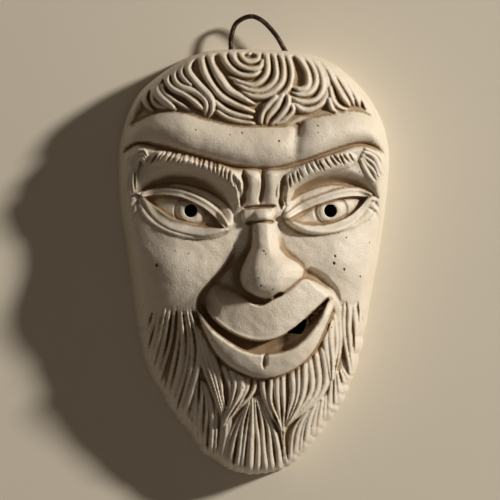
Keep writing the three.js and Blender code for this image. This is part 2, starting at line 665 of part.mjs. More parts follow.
// The carved surface over the back plane
class Carving {
  constructor() {
    this.ring = ringAround(RING_POINTS);
    this.rim = this.ring.map(({ place }) => place);
    this.crease = insetRing(this.ring, (out) => SIDE_DRAFT + TEMPLE_DRAFT * Math.abs(out.x));
    this.creaseLine = Line.through([...this.crease, this.crease[0]]);
    this.bandTop = new Line(BAND_TOP);
    this.bandLow = new Line(BAND_LOW);
    this.bandDent = new Ridge(BAND_DENT.line, BAND_DENT.half);
    this.brows = BROWS.map(({ line }) => new Ridge(line, BROW_HALF, BROW_ENDS, 0.8));
    this.notches = BROWS.flatMap((brow) => this.browNotches(brow));
    this.furrows = FURROWS.map(({ line, half, depth, ends }) => {
      return { depth, ridge: new Ridge(line, half, ends) };
    });
    this.collar = new Ridge(COLLAR.line, COLLAR.half, BROW_ENDS, 0.6);
    this.collarGrooves = COLLAR_GROOVES.map((line) => new Ridge(line, COLLAR_GROOVE.half));
    this.cheekFold = new Line(CHEEK_FOLD);
    this.slab = new Strip(new Line(SLAB_TOP), new Line(MOUTH_TOP));
    this.slot = new Strip(new Line(MOUTH_TOP), new Line(LIP_INNER));
    this.lip = new Strip(new Line(LIP_INNER), new Line(LIP_OUTER));
    this.lipNotch = new Ridge(LIP_NOTCH, 3, [0.01, 0.3]);
    this.eyes = EYES.map((eye) => {
      const [top, low, lid, bag] = [eye.top, eye.low, eye.lid, eye.bag].map((line) => new Line(line));
      return { ...eye, opening: new Strip(top, low), lids: [new Strip(top, lid), new Strip(low, bag)] };
    });
    this.beardEdge = new Line(BEARD_EDGE);
    this.beard = new Strands(lockStrands(BEARD), GROOVE);
    this.hair = new Strands(hairStrands(), HAIR_GROOVE);
    this.temples = new Strands(lockStrands(TEMPLE_HAIR), GROOVE);
  }

  browNotches({ line, notches, lean }) {
    const brow = new Line(line);
    return Array.from({ length: notches }, (_, k) => {
      const [x, low] = brow.at(NOTCH.first + (NOTCH.span * (k + 0.5)) / notches);
      const y = low + NOTCH.lift;
      const angle = THREE.MathUtils.degToRad(mix(lean[0], lean[1], k / (notches - 1)));
      const [dx, dy] = [NOTCH.reach * Math.cos(angle), NOTCH.reach * Math.sin(angle)];
      return new Ridge([[x - dx, y - dy], [x, y], [x + dx, y + dy]], NOTCH.half, NOTCH.ends);
    });
  }

  // Where a row of the drawing meets the outline on both sides
  rowEnds(y) {
    const ends = [];
    for (let i = 0, j = this.rim.length - 1; i < this.rim.length; j = i++) {
      const p = this.rim[i];
      const q = this.rim[j];
      if (p[1] > y !== q[1] > y) ends.push(p[0] + ((q[0] - p[0]) * (y - p[1])) / (q[1] - p[1]));
    }
    return ends.length ? [Math.min(...ends), Math.max(...ends)] : [-1, 1];
  }

  // Depth of the plain ground that the carving stands on
  ground(x, y) {
    const [left, right] = this.rowEnds(y);
    const half = Math.max((right - left) / 2, 20);
    const across = Math.abs(x - (left + right) / 2) / half;
    const side = lookUp(SIDE_DEPTH, y);
    return side + (lookUp(MIDDLE_DEPTH, y) - side) * clamp(1 - across ** GROUND_POWER);
  }

  creaseDepth(y) {
    return lookUp(SIDE_DEPTH, y) - CREASE_DROP;
  }

  face(x, y, ground, underBand) {
    const { height, rise, flat, fade, from, to } = BROW_SWELL;
    const left = Math.exp(-((Math.max(underBand - flat, 0) / fade) ** 2));
    let z = ground + height * ramp(underBand, 0, rise) * left * ramp(y, from, to);
    for (const { socket, globe, cheek } of this.eyes) {
      z += globe.height * cap(x, y, globe) + cheek.height * mound(x, y, cheek);
      z -= socket.depth * bowl(x, y, socket);
    }
    for (const bulge of KNOT_BULGES) z += bulge.height * mound(x, y, bulge);
    const temple = this.temples.height(x, y);
    if (temple > -GROOVE) z += temple + 0.8;
    for (const [column, side] of [[1, -1], [2, 1]]) {
      const beyond = side * (x - lookUp(TURN, y, column));
      z -= TURN_SLOPE * (beyond + Math.hypot(beyond, TURN_ROUND));
    }
    return z;
  }

  // The hollow beside the nose that the left cheek stands over
  valley(x, y) {
    if (x < -64 || x > 10 || y < 140 || y > 240) return 0;
    const { distance, side } = this.cheekFold.near(x, y);
    if (side < 0) return 0;
    const across = ramp(distance, 0, 5) * (1 - ramp(distance, 14, 40));
    return VALLEY_DEPTH * across * (1 - ramp(y, 206, 234)) * ramp(y, 147, 162);
  }

  nose(x, y, z, ground) {
    if (y < NOSE[0][0] || y > NOSE[NOSE.length - 1][0]) return z;
    const [left, crest, right, rise] = [1, 2, 3, 4].map((column) => lookUp(NOSE, y, column));
    if (x < left || x > right) return z;
    const bridge = ramp(y, ...BRIDGE_FROM);
    const [bend, power] = [0, 1].map((i) => mix(NOSE_SECTION.tip[i], NOSE_SECTION.bridge[i], bridge));
    const section =
      x < crest
        ? Math.sqrt(1 - ((crest - x) / (crest - left)) ** NOSE_SECTION.left)
        : (1 - ((x - crest) / (right - crest)) ** bend) ** power;
    const fillet = mix(NOSE_FILLET.left, NOSE_FILLET.right, ramp(x, NOSE_FILLET.from, NOSE_FILLET.to));
    return blend(z, ground + NOSE_FOOT + rise * section, fillet);
  }

  mouth(x, y, z, ground) {
    const slab = this.slab.across(x, y);
    if (slab) {
      const bow = Math.sqrt(clamp(1 - ((x - MOUTH_MIDDLE) / SLAB.half) ** 2));
      const swell = SLAB.foot + bow * (SLAB.swell - SLAB.fall * slab.share);
      return ground + swell * (1 - SLAB.edge * (1 - ramp(Math.min(slab.first, slab.second), -0.2, 2.6)));
    }
    const slot = this.slot.across(x, y);
    if (slot) {
      const rise = mix(SLOT.left, SLOT.middle, ramp(x, -24, 10));
      return ground + SLOT.floor + rise * slot.share ** 1.2;
    }
    const lip = this.lip.across(x, y);
    if (lip) {
      const ends = ramp(lip.along, 0, 0.12) * (1 - ramp(lip.along, 0.9, 1));
      const swell = LIP.swell * Math.sqrt(clamp(1 - (0.97 * lip.share) ** 3)) * mix(LIP.corner, 1, ends);
      return ground + LIP.foot + swell - LIP.notch * this.lipNotch.height(x, y);
    }
    return z;
  }

  eye(x, y, z, { opening, lids, pupil }) {
    const open = opening.across(x, y);
    if (open) {
      const fromPupil = Math.hypot(x - pupil[0], y - pupil[1]);
      const ring = clamp(1 - ((fromPupil - IRIS.radius) / IRIS.half) ** 2);
      z -= EYE_DROP * ramp(Math.min(open.first, open.second), 0, 2.5) + IRIS.depth * ring;
    }
    for (const lid of lids) {
      const on = lid.across(x, y);
      if (!on) continue;
      const brim = LID.brim * Math.exp(-(((on.share - LID.brimAt) / LID.brimHalf) ** 2));
      z += (LID.height + brim) * ramp(on.first + on.second, 0.5, LID.full);
    }
    return z;
  }

  // Depth in steps at a place in squares
  depth(x, y) {
    const ground = this.ground(x, y);
    const fromEdge = isInside(x, y, this.crease) ? this.creaseLine.near(x, y).distance : 0;
    const top = this.bandTop.near(x, y);
    const low = this.bandLow.near(x, y);
    let z = ground;
    if (top.side > 0) {
      z = ground + this.hair.height(x, y) + HAIR_RISE.height * ramp(top.distance, 0, HAIR_RISE.reach);
    } else if (low.side >= 0) {
      const share = top.distance / (top.distance + low.distance);
      const roll =
        share < BAND_CREST
          ? 1 - (1 - share / BAND_CREST) ** 2
          : 1 - BAND_FALL * ((share - BAND_CREST) / (1 - BAND_CREST)) ** 3;
      const bulge = BAND_BULGE * roll * mix(BAND_END.height, 1, ramp(fromEdge, 0, BAND_END.reach));
      z = ground + bulge - BAND_DENT.depth * this.bandDent.height(x, y);
      const over = top.distance < HAIR_OVERHANG ? this.hair.height(x, y) : -HAIR_GROOVE;
      if (over > -HAIR_GROOVE) z = Math.max(z, ground + over + 1);
    } else {
      z = this.face(x, y, ground, low.distance) - this.valley(x, y);
      this.brows.forEach((brow) => (z += BROW_HEIGHT * brow.height(x, y)));
      z -= NOTCH.depth * Math.max(...this.notches.map((notch) => notch.height(x, y)));
      this.furrows.forEach(({ depth, ridge }) => (z -= depth * ridge.height(x, y)));
      z = this.mouth(x, y, z, ground);
      z = this.nose(x, y, z, ground) + COLLAR.height * this.collar.height(x, y);
      this.collarGrooves.forEach((groove) => (z -= COLLAR_GROOVE.depth * groove.height(x, y)));
      this.eyes.forEach((eye) => (z = this.eye(x, y, z, eye)));
      const beard = this.beardEdge.near(x, y);
      const underLip = ramp(x, -72, -56) * (1 - ramp(x, 74, 84));
      if (beard.side < 0) z += this.beard.height(x, y, beard.distance + LIP_GROWTH * underLip);
    }
    const edge = Math.sqrt(1 - (1 - clamp(fromEdge / EDGE_ROUND)) ** 2);
    return mix(this.creaseDepth(y), z, edge);
  }
}

// A Delaunay net of triangles, grown one point at a time
class Net {
  constructor(reach) {
    this.points = [[-3 * reach, -3 * reach], [3 * reach, -3 * reach], [0, 3 * reach]];
    this.corners = [[0, 1, 2]];
    this.across = [[-1, -1, -1]];
  }

  circleHolds(triangle, x, y) {
    const [a, b, c] = this.corners[triangle].map((i) => [this.points[i][0] - x, this.points[i][1] - y]);
    const [aa, bb, cc] = [a, b, c].map(([u, v]) => u * u + v * v);
    const [bc, cb] = [b[1] * cc - bb * c[1], b[0] * cc - bb * c[0]];
    return a[0] * bc - a[1] * cb + aa * (b[0] * c[1] - b[1] * c[0]) > 1e-9;
  }

  find(x, y) {
    return this.corners.findIndex(
      (corner) =>
        corner &&
        corner.every((i, k) => {
          const [[ax, ay], [bx, by]] = [this.points[i], this.points[corner[(k + 1) % 3]]];
          return (bx - ax) * (y - ay) - (by - ay) * (x - ax) >= 0;
        }),
    );
  }

  // Adds a point that lies in the given triangle, and returns the new triangles around it
  add(x, y, triangle = this.find(x, y)) {
    const point = this.points.push([x, y]) - 1;
    const opened = new Set([triangle]);
    const waiting = [triangle];
    const border = [];
    while (waiting.length) {
      const at = waiting.pop();
      this.across[at].forEach((next, k) => {
        if (opened.has(next)) return;
        if (next >= 0 && this.circleHolds(next, x, y)) {
          opened.add(next);
          waiting.push(next);
        } else border.push({ from: this.corners[at][k], to: this.corners[at][(k + 1) % 3], next, at });
      });
    }
    const startingAt = new Map();
    const fresh = border
      .filter(({ next }) => !opened.has(next))
      .map(({ from, to, next, at }) => {
        const made = this.corners.push([from, to, point]) - 1;
        this.across.push([next, -1, -1]);
        if (next >= 0) this.across[next][this.across[next].indexOf(at)] = made;
        startingAt.set(from, made);
        return made;
      });
    fresh.forEach((made) => {
      const follower = startingAt.get(this.corners[made][1]);
      this.across[made][1] = follower;
      this.across[follower][2] = made;
    });
    opened.forEach((gone) => {
      this.corners[gone] = null;
      this.across[gone] = null;
    });
    return fresh;
  }

  // Twice the area of the triangle between three points, positive when they run anticlockwise
  turn(a, b, c) {
    const [p, q, r] = [this.points[a], this.points[b], this.points[c]];
    return (q[0] - p[0]) * (r[1] - p[1]) - (q[1] - p[1]) * (r[0] - p[0]);
  }

  // Swaps the edge between two triangles for the other diagonal where the misfit says that it follows
  // the surface better
  swapEdge(first, k, misfit) {
    const second = this.across[first][k];
    const [a, b, c] = [0, 1, 2].map((step) => this.corners[first][(k + step) % 3]);
    const back = this.corners[second].indexOf(b);
    const d = this.corners[second][(back + 2) % 3];
    if (Math.min(a, b, c, d) < 3 || this.turn(a, d, c) < 0.2 || this.turn(d, b, c) < 0.2) return false;
    if (!(misfit(c, d) < misfit(a, b) - 1e-6)) return false;
    const [besideB, besideA] = [1, 2].map((step) => this.across[first][(k + step) % 3]);
    const [farA, farB] = [1, 2].map((step) => this.across[second][(back + step) % 3]);
    this.corners[first] = [a, d, c];
    this.corners[second] = [d, b, c];
    this.across[first] = [farA, second, besideA];
    this.across[second] = [farB, besideB, first];
    if (farA >= 0) this.across[farA][this.across[farA].indexOf(second)] = first;
    if (besideB >= 0) this.across[besideB][this.across[besideB].indexOf(first)] = second;
    return true;
  }

  swapEdges(misfit, rounds) {
    for (let round = 0; round < rounds; round++) {
      this.corners.forEach((corner, triangle) => {
        if (!corner) return;
        for (let k = 0; k < 3; k++) {
          if (this.across[triangle][k] > triangle) this.swapEdge(triangle, k, misfit);
        }
      });
    }
  }
}

// Measures the carving on a fine grid and keeps adding the place that the net misses most
class FaceNet {
  constructor(carving) {
    this.carving = carving;
    this.low = [-SQUARES_WIDE / 2, 0];
    this.columns = Math.ceil(SQUARES_WIDE / SAMPLE_STEP) + 1;
    this.rows = Math.ceil(SQUARES_HIGH / SAMPLE_STEP) + 1;
    this.net = new Net(SQUARES_HIGH * 4);
    this.depths = [NaN, NaN, NaN];
    this.worst = [];
    this.measure();
    for (const [x, y] of carving.crease) {
      this.net.add(x, y);
      this.depths.push(carving.creaseDepth(y));
    }
    this.net.corners.forEach((corner, triangle) => corner && this.rate(triangle));
    while (this.net.points.length < NET_POINTS) this.grow();
    this.net.swapEdges((a, b) => this.misfit(a, b), SWAP_ROUNDS);
  }

  // The carving's depth between four samples, or NaN beside the crease
  depthAt(x, y) {
    const column = (x - this.low[0]) / SAMPLE_STEP;
    const row = (y - this.low[1]) / SAMPLE_STEP;
    const start = Math.floor(row) * this.columns + Math.floor(column);
    const steps = [0, 1, this.columns, this.columns + 1];
    const [a, b, c, d] = steps.map((step) => this.samples[start + step]?.depth);
    return mix(mix(a, b, column % 1), mix(c, d, column % 1), row % 1);
  }

  // How far an edge between two points of the net runs from the carving, on the whole
  misfit(a, b) {
    const [p, q] = [this.net.points[a], this.net.points[b]];
    const gaps = [0.25, 0.5, 0.75].map((share) => {
      const depth = this.depthAt(mix(p[0], q[0], share), mix(p[1], q[1], share));
      return Math.abs(mix(this.depths[a], this.depths[b], share) - depth);
    });
    return gaps.reduce((sum, gap) => sum + gap, 0);
  }

  measure() {
    const clear = (0.6 * this.carving.creaseLine.length) / RING_POINTS;
    this.samples = Array.from({ length: this.rows * this.columns }, (_, index) => {
      const x = this.low[0] + (index % this.columns) * SAMPLE_STEP;
      const y = this.low[1] + Math.floor(index / this.columns) * SAMPLE_STEP;
      if (!isInside(x, y, this.carving.crease)) return null;
      if (this.carving.creaseLine.near(x, y).distance < clear) return null;
      return { x, y, depth: this.carving.depth(x, y) };
    });
    this.samples.forEach((sample, index) => {
      if (!sample) return;
      const [right, up] = [this.samples[index + 1], this.samples[index + this.columns]];
      const rise = Math.hypot(right ? right.depth - sample.depth : 0, up ? up.depth - sample.depth : 0);
      sample.weight = 1 / Math.hypot(1, (rise * depthStep) / (SAMPLE_STEP * squareX));
    });
  }

  // Finds the sample that a triangle misses most
  rate(triangle) {
    this.worst[triangle] = { error: 0 };
    const corner = this.net.corners[triangle];
    if (corner.some((i) => i < 3)) return;
    const [a, b, c] = corner.map((i) => this.net.points[i]);
    const [za, zb, zc] = corner.map((i) => this.depths[i]);
    const area = (b[0] - a[0]) * (c[1] - a[1]) - (b[1] - a[1]) * (c[0] - a[0]);
    const span = (axis) => [a, b, c].map((p) => (p[axis] - this.low[axis]) / SAMPLE_STEP);
    const [columns, rows] = [span(0), span(1)];
    for (let row = Math.floor(Math.min(...rows)); row <= Math.max(...rows) + 1; row++) {
      for (let column = Math.floor(Math.min(...columns)); column <= Math.max(...columns) + 1; column++) {
        const sample = this.samples[row * this.columns + column];
        if (!sample || sample.used) continue;
        const { x, y } = sample;
        const wb = ((x - a[0]) * (c[1] - a[1]) - (y - a[1]) * (c[0] - a[0])) / area;
        const wc = ((b[0] - a[0]) * (y - a[1]) - (b[1] - a[1]) * (x - a[0])) / area;
        if (wb < 0 || wc < 0 || wb + wc > 1) continue;
        const error = Math.abs(sample.depth - za - wb * (zb - za) - wc * (zc - za)) * sample.weight;
        if (error > this.worst[triangle].error) this.worst[triangle] = { error, sample };
      }
    }
  }

  grow() {
    let pick = -1;
    this.net.corners.forEach((corner, triangle) => {
      if (corner && (pick < 0 || this.worst[triangle].error > this.worst[pick].error)) pick = triangle;
    });
    const { sample } = this.worst[pick];
    sample.used = true;
    this.depths.push(sample.depth);
    this.net.add(sample.x, sample.y, pick).forEach((triangle) => this.rate(triangle));
  }

  // Triangles inside the crease, as rows of point numbers counted from the first point of the crease
  triangles() {
    const { points, corners } = this.net;
    return corners
      .filter((corner) => {
        if (!corner || corner.some((i) => i < 3)) return false;
        const middle = [0, 1].map((axis) => corner.reduce((sum, i) => sum + points[i][axis] / 3, 0));
        return isInside(middle[0], middle[1], this.carving.crease);
      })
      .map((corner) => corner.map((i) => i - 3));
  }
}

// Booleans
const wasm = await Module();
wasm.setup();

function toSolid(geometry) {
  const bare = geometry.clone();
  bare.deleteAttribute("normal");
  bare.deleteAttribute("uv");
  const merged = mergeVertices(bare, 1e-4);
  return new wasm.Manifold(
    new wasm.Mesh({
      numProp: 3,
      vertProperties: merged.attributes.position.array,
      triVerts: new Uint32Array(merged.index.array),
    }),
  );
}

function toGeometry(solid) {
  const mesh = solid.getMesh();
  const geometry = new THREE.BufferGeometry();
  geometry.setAttribute("position", new THREE.BufferAttribute(mesh.vertProperties, 3));
  geometry.setIndex(new THREE.BufferAttribute(mesh.triVerts, 1));
  const flat = geometry.toNonIndexed();
  flat.computeVertexNormals();
  return flat;
}

function indexed(points, triangles) {
  const geometry = new THREE.BufferGeometry();
  geometry.setAttribute("position", new THREE.Float32BufferAttribute(points.flat(), 3));
  geometry.setIndex(triangles.flat());
  return geometry;
}

const toMillimetres = ([x, y], depth) => [x * squareX, y * squareY, depth * depthStep];

// The mask before it is hollowed: the carved face, the leaning side wall and a flat back
function maskBlock(carving) {
  const face = new FaceNet(carving);
  const points = face.net.points.slice(3).map((place, i) => toMillimetres(place, face.depths[i + 3]));
  const triangles = face.triangles();
  const rimStart = points.length;
  carving.rim.forEach((place) => points.push(toMillimetres(place, 0)));
  const middle = points.push([0, MASK_HEIGHT / 2, 0]) - 1;
  for (let k = 0; k < RING_POINTS; k++) {
    const next = (k + 1) % RING_POINTS;
    triangles.push([rimStart + k, rimStart + next, k], [rimStart + next, next, k]);
    triangles.push([middle, rimStart + next, rimStart + k]);
  }
  return indexed(points, triangles);
}

// What is taken out of the back: a dome that follows the ground at the wall's thickness
function hollowCutter(carving) {
  const ring = insetRing(ringAround(HOLLOW_POINTS), () => RIM_WIDTH);
  const middle = [0, SQUARES_HIGH / 2];
  const ceiling = ([x, y]) => carving.ground(x, y) * depthStep - PLASTER_WALL;
  const points = ring.map((place) => toMillimetres(place, -HOLLOW_LIP));
  HOLLOW_SHARES.forEach((share) => {
    ring.forEach((edge) => {
      const place = [0, 1].map((axis) => mix(middle[axis], edge[axis], share));
      const [x, y] = toMillimetres(place, 0);
      points.push([x, y, mix(ceiling(place), HOLLOW_LIP, share ** 5)]);
    });
  });
  const top = points.push([0, middle[1] * squareY, ceiling(middle)]) - 1;
  const bottom = points.push([0, middle[1] * squareY, -HOLLOW_LIP]) - 1;
  const triangles = [];
  for (let k = 0; k < HOLLOW_POINTS; k++) {
    const next = (k + 1) % HOLLOW_POINTS;
    triangles.push([bottom, next, k]);
    for (let level = 0; level < HOLLOW_SHARES.length; level++) {
      const [low, high] = [level * HOLLOW_POINTS, (level + 1) * HOLLOW_POINTS];
      triangles.push([low + k, low + next, high + k], [low + next, high + next, high + k]);
    }
    const last = HOLLOW_SHARES.length * HOLLOW_POINTS;
    triangles.push([last + k, last + next, top]);
  }
  return indexed(points, triangles);
}

function pupilCutter([x, y]) {
  const radius = PUPIL_DIAMETER / 2;
  const drill = new THREE.CylinderGeometry(radius, radius, 2 * MASK_DEPTH, DRILL_SIDES);
  return drill.rotateX(Math.PI / 2).translate(x * squareX, y * squareY, 0);
}

// The part of the mouth's slot that goes right through, under the upper lip
function mouthCutter() {
  const edge = new Line(OPEN_MOUTH, true).points.slice(1);
  const corners = edge.map(([x, y]) => new THREE.Vector2(x * squareX, y * squareY));
  return new THREE.ExtrudeGeometry(new THREE.Shape(corners), { depth: MASK_DEPTH, bevelEnabled: false });
}

// Height of the outline over a place across the crown
function crownHeight(x, carving) {
  const ring = carving.rim.filter(([, y]) => y > SQUARES_HIGH / 2);
  const rows = ring.map(([u, v]) => [u * squareX, v * squareY]).sort((a, b) => a[0] - b[0]);
  return lookUp(rows, x);
}

// Places along the wire's middle line, with both ends inside their sockets
function wireLine(carving) {
  const loop = LOOP_LINE.map(([across, up]) => {
    const x = LOOP_OFFSET + (across * LOOP_SPAN) / 2;
    return new THREE.Vector3(x, crownHeight(x, carving) + up * LOOP_RISE, WIRE_LEVEL);
  });
  const inwards = (end, beyond) => {
    const way = end.clone().sub(beyond).normalize();
    return [0.5, 1].map((share) => end.clone().addScaledVector(way, share * SOCKET_DEPTH));
  };
  const left = inwards(loop[0], loop[1]).reverse();
  const right = inwards(loop[loop.length - 1], loop[loop.length - 2]);
  return [...left, ...loop, ...right];
}

// A drilled hole around one end of the wire, open at the crown
function socketCutter(end, towards) {
  const way = towards.clone().sub(end).normalize();
  const length = 2 * SOCKET_DEPTH;
  const radius = WIRE_DIAMETER / 2 + SOCKET_CLEARANCE;
  const drill = new THREE.CylinderGeometry(radius, radius, length, DRILL_SIDES);
  const turn = new THREE.Quaternion().setFromUnitVectors(new THREE.Vector3(0, 1, 0), way);
  const middle = end.clone().addScaledVector(way, length / 2 - SOCKET_CLEARANCE);
  return drill.applyQuaternion(turn).translate(middle.x, middle.y, middle.z);
}

function plasterMask(carving, wire) {
  const cutters = [
    hollowCutter(carving),
    ...EYES.map(({ pupil }) => pupilCutter(pupil)),
    mouthCutter(),
    socketCutter(wire[0], wire[1]),
    socketCutter(wire[wire.length - 1], wire[wire.length - 2]),
  ];
  const block = toSolid(maskBlock(carving));
  const solid = cutters.reduce((rest, cutter) => rest.subtract(toSolid(cutter)), block);
  const plaster = new THREE.MeshStandardMaterial({ color: 0xd9cfbb, roughness: 0.75, metalness: 0 });
  const mesh = new THREE.Mesh(toGeometry(solid), plaster);
  mesh.name = "plaster_mask";
  return mesh;
}

function hangingLoop(wire) {
  const radius = WIRE_DIAMETER / 2;
  const section = new THREE.Shape();
  for (let k = 0; k < WIRE_SIDES; k++) {
    const angle = (k / WIRE_SIDES) * 2 * Math.PI;
    section[k ? "lineTo" : "moveTo"](radius * Math.cos(angle), radius * Math.sin(angle));
  }
  const path = new THREE.CatmullRomCurve3(wire, false, "centripetal");
  const sweep = { steps: WIRE_STEPS, bevelEnabled: false, extrudePath: path };
  const tube = new THREE.ExtrudeGeometry(section, sweep);
  const iron = new THREE.MeshStandardMaterial({ color: 0x3a2a22, roughness: 0.5, metalness: 0.6 });
  const mesh = new THREE.Mesh(tube, iron);
  mesh.name = "hanging_loop";
  return mesh;
}

// The whole object, with its origin under the middle of its box
const carving = new Carving();
const wire = wireLine(carving);
const wallMask = new THREE.Group();
wallMask.add(plasterMask(carving, wire), hangingLoop(wire));
const box = new THREE.Box3().setFromObject(wallMask);
const middle = box.getCenter(new THREE.Vector3());
wallMask.children.forEach((piece) => piece.position.set(-middle.x, -middle.y, -box.min.z));

export default wallMask;
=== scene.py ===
"""Looks of a cast plaster wall mask: one carved plaster cast with a hollow back, and its wire loop.

The mask lies on its back ring: X to the right of the face, Y from the beard to the crown, Z out of the
face. The carving is laid out on a squared front drawing: places are squares to the right of the middle
line and above the beard's tip, and heights are steps of a millimetre.
"""

from __future__ import annotations

import logging
import math
from dataclasses import dataclass, field
from enum import Enum
from typing import Callable, Sequence

import bpy
import numpy as np
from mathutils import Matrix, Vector
from mathutils.geometry import delaunay_2d_cdt

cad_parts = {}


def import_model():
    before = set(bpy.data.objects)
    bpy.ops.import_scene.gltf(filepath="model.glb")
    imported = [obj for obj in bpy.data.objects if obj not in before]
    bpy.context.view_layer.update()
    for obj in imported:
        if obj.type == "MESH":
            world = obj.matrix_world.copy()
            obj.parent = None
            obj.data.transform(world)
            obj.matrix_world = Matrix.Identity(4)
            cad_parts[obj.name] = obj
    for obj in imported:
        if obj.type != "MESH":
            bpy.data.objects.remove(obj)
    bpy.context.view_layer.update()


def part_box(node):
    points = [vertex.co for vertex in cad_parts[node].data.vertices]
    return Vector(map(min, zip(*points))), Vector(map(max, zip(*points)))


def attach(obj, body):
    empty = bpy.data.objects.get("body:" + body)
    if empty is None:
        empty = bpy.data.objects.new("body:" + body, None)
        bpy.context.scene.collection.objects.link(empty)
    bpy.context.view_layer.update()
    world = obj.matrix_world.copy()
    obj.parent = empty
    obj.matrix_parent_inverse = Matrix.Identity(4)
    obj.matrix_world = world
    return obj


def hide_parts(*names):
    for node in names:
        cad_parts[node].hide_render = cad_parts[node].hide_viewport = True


LOG = logging.getLogger("plaster_mask")
Pair = tuple[float, float]
Colour = tuple[float, float, float, float]
Rows = Sequence[Sequence[float]]
Field = np.ndarray

# Lengths below this are taken as none, in squares
TINY = 1e-6
# Middle value of a noise texture, and the detail and roughness of the patches and the grain
NOISE_MIDDLE = 0.5
PATCH_DETAIL: Pair = (4.0, 0.6)
GRAIN_DETAIL: Pair = (3.0, 0.65)
# How a ridge runs out at its ends: the power of its height there and its least share of the width
RIDGE_END_POWER = 0.7
RIDGE_LEAST_WIDTH = 0.35
# How steeply a mound falls, and the shares of its size between which a bowl's wall stands
MOUND_FALL = 1.2
BOWL_WALL = (0.66, 1.14)

# Outline, anticlockwise from the crown
OUTLINE: Rows = (
    (1, 425), (-47, 423), (-79, 410), (-111, 386), (-125, 364), (-132, 343), (-136, 322), (-136, 287),
    (-133, 257), (-129, 227), (-123, 187), (-118, 147), (-109, 109), (-91, 74), (-68, 42), (-54, 22),
    (-39, 11), (-18, 1), (8, -1), (33, 6), (51, 22), (68, 42), (86, 67), (99, 95), (107, 122),
    (112, 147), (118, 185), (124, 217), (129, 250), (133, 282), (135, 317), (131, 344), (122, 365),
    (110, 383), (92, 401), (74, 413), (46, 422),
)

# Depth of the plain ground on the middle line and at the sides, as height in squares and depth
MIDDLE_DEPTH: Rows = (
    (-1, 23), (17, 28), (42, 33), (72, 38), (100, 41.5), (132, 44), (172, 44), (202, 43), (242, 42.5),
    (282, 43), (322, 45), (345, 44), (372, 42.5), (392, 40), (412, 34), (425, 27), (432, 24),
)
SIDE_DEPTH: Rows = ((-1, 19), (72, 21), (142, 23), (222, 25), (282, 27), (342, 28), (382, 25), (432, 22))

# The rolled band over the forehead
BAND_TOP: Rows = (
    (-146, 326), (-130, 343), (-113, 352), (-94, 359), (-72, 359), (-45, 351), (-13, 345), (31, 345),
    (53, 352), (79, 358), (100, 361), (119, 354), (129, 346), (146, 322),
)
BAND_LOW: Rows = (
    (-150, 277), (-134, 312), (-124, 323), (-111, 328), (-89, 324), (-59, 316), (-29, 308), (1, 304),
    (26, 305), (51, 312), (76, 321), (96, 327.5), (112, 328.5), (125, 322), (135, 308), (146, 282),
)
# Dents of the band: depth, half width and line
BAND_DENTS: tuple[tuple[float, float, Rows], ...] = (
    (1.3, 5.0, ((44, 352), (42, 337), (40, 320))),
    (1.3, 4.0, ((45, 357), (44, 346), (43, 338))),
    (1.5, 13.0, ((45, 358), (41, 337), (36, 316))),
)

# The mouth: the upper lip's slab, the slot below it and the lower lip
SLAB_TOP: Rows = (
    (-51, 172), (-50, 184), (-41, 194), (-16, 183), (4, 171), (20, 179), (34, 187), (49, 197), (66, 191),
    (78, 181),
)
MOUTH_TOP: Rows = (
    (-51, 172), (-42, 158), (-26, 145), (-9, 137), (8, 134.5), (26, 139), (44, 151), (58, 164), (72, 177),
)
LIP_INNER: Rows = (
    (-51, 160), (-40, 147), (-24, 135), (-9, 126.5), (8, 123), (31, 126), (46, 135), (61, 153), (73, 175),
)
LIP_OUTER: Rows = (
    (-58, 169), (-49, 145), (-36, 121.5), (-16, 105.5), (8, 98.5), (34, 104.5), (56, 122), (71, 150),
    (80, 176),
)
LIP_NOTCH: Rows = ((10.5, 125), (10.5, 116), (9, 108))
OPEN_MOUTH: Rows = ((31, 143), (38, 142), (47, 142), (51.5, 153.5), (49, 156.5), (39, 148.5))
CHEEK_FOLD: Rows = ((-22, 226), (-30, 211), (-43, 196), (-54, 183), (-58, 172), (-57, 155))

# The nose from its tip to the brow: height in squares, left edge, crest, right edge, rise
NOSE: Rows = (
    (175.5, 9, 13, 18, 4), (177.5, 3, 13, 22.5, 10.5), (180.5, -4, 12.5, 28.5, 14),
    (184.5, -10, 12.5, 35, 17), (190, -13.6, 13, 42, 18.6), (197, -14.8, 14, 49, 19.2),
    (205, -14, 15.5, 50, 18.8), (212, -11, 16, 45, 17.6), (218, -8, 15, 36, 16), (226, -4.5, 13.5, 30, 13.6),
    (236, -3.5, 12.5, 28, 10.6), (246, -3.5, 12, 27, 7.8), (256, -4, 11, 24, 5), (264, -4, 10, 22, 3),
    (272, -3, 9, 20, 1),
)

# Where the cheeks turn into the sides: height in squares and the turn's place at the left and right
TURN: Rows = (
    (40, -84, 84), (100, -99, 101), (150, -106, 110), (200, -111, 117), (230, -116, 121), (272, -123, 126),
    (310, -128, 128), (340, -134, 132),
)

# Where the beard grows out of the cheeks and ends under the lip, from the left
BEARD_EDGE: Rows = (
    (-144, 172), (-104, 169), (-74, 170), (-60, 166), (-49, 141), (-36, 119.5), (-16, 103.5), (8, 97),
    (34, 103), (57, 121), (73, 148), (81, 174), (96, 175), (114, 176), (146, 180),
)


@dataclass(frozen=True)
class Lock:
    """A lock of hair: both edges from root to tip, its strands, and the level of root and tip."""

    left: Rows
    right: Rows
    strands: int
    root: float = 0.0
    tip: float = 0.0


@dataclass(frozen=True)
class Form:
    """A rounded form on a turned ellipse."""

    at: Pair
    size: Pair
    height: float
    turn: float = 0.0


@dataclass(frozen=True)
class Furrow:
    """A sunk line: its points, half width, depth and the shares over which its ends run out."""

    line: Rows
    half: float
    depth: float
    ends: Pair = (0.15, 0.2)


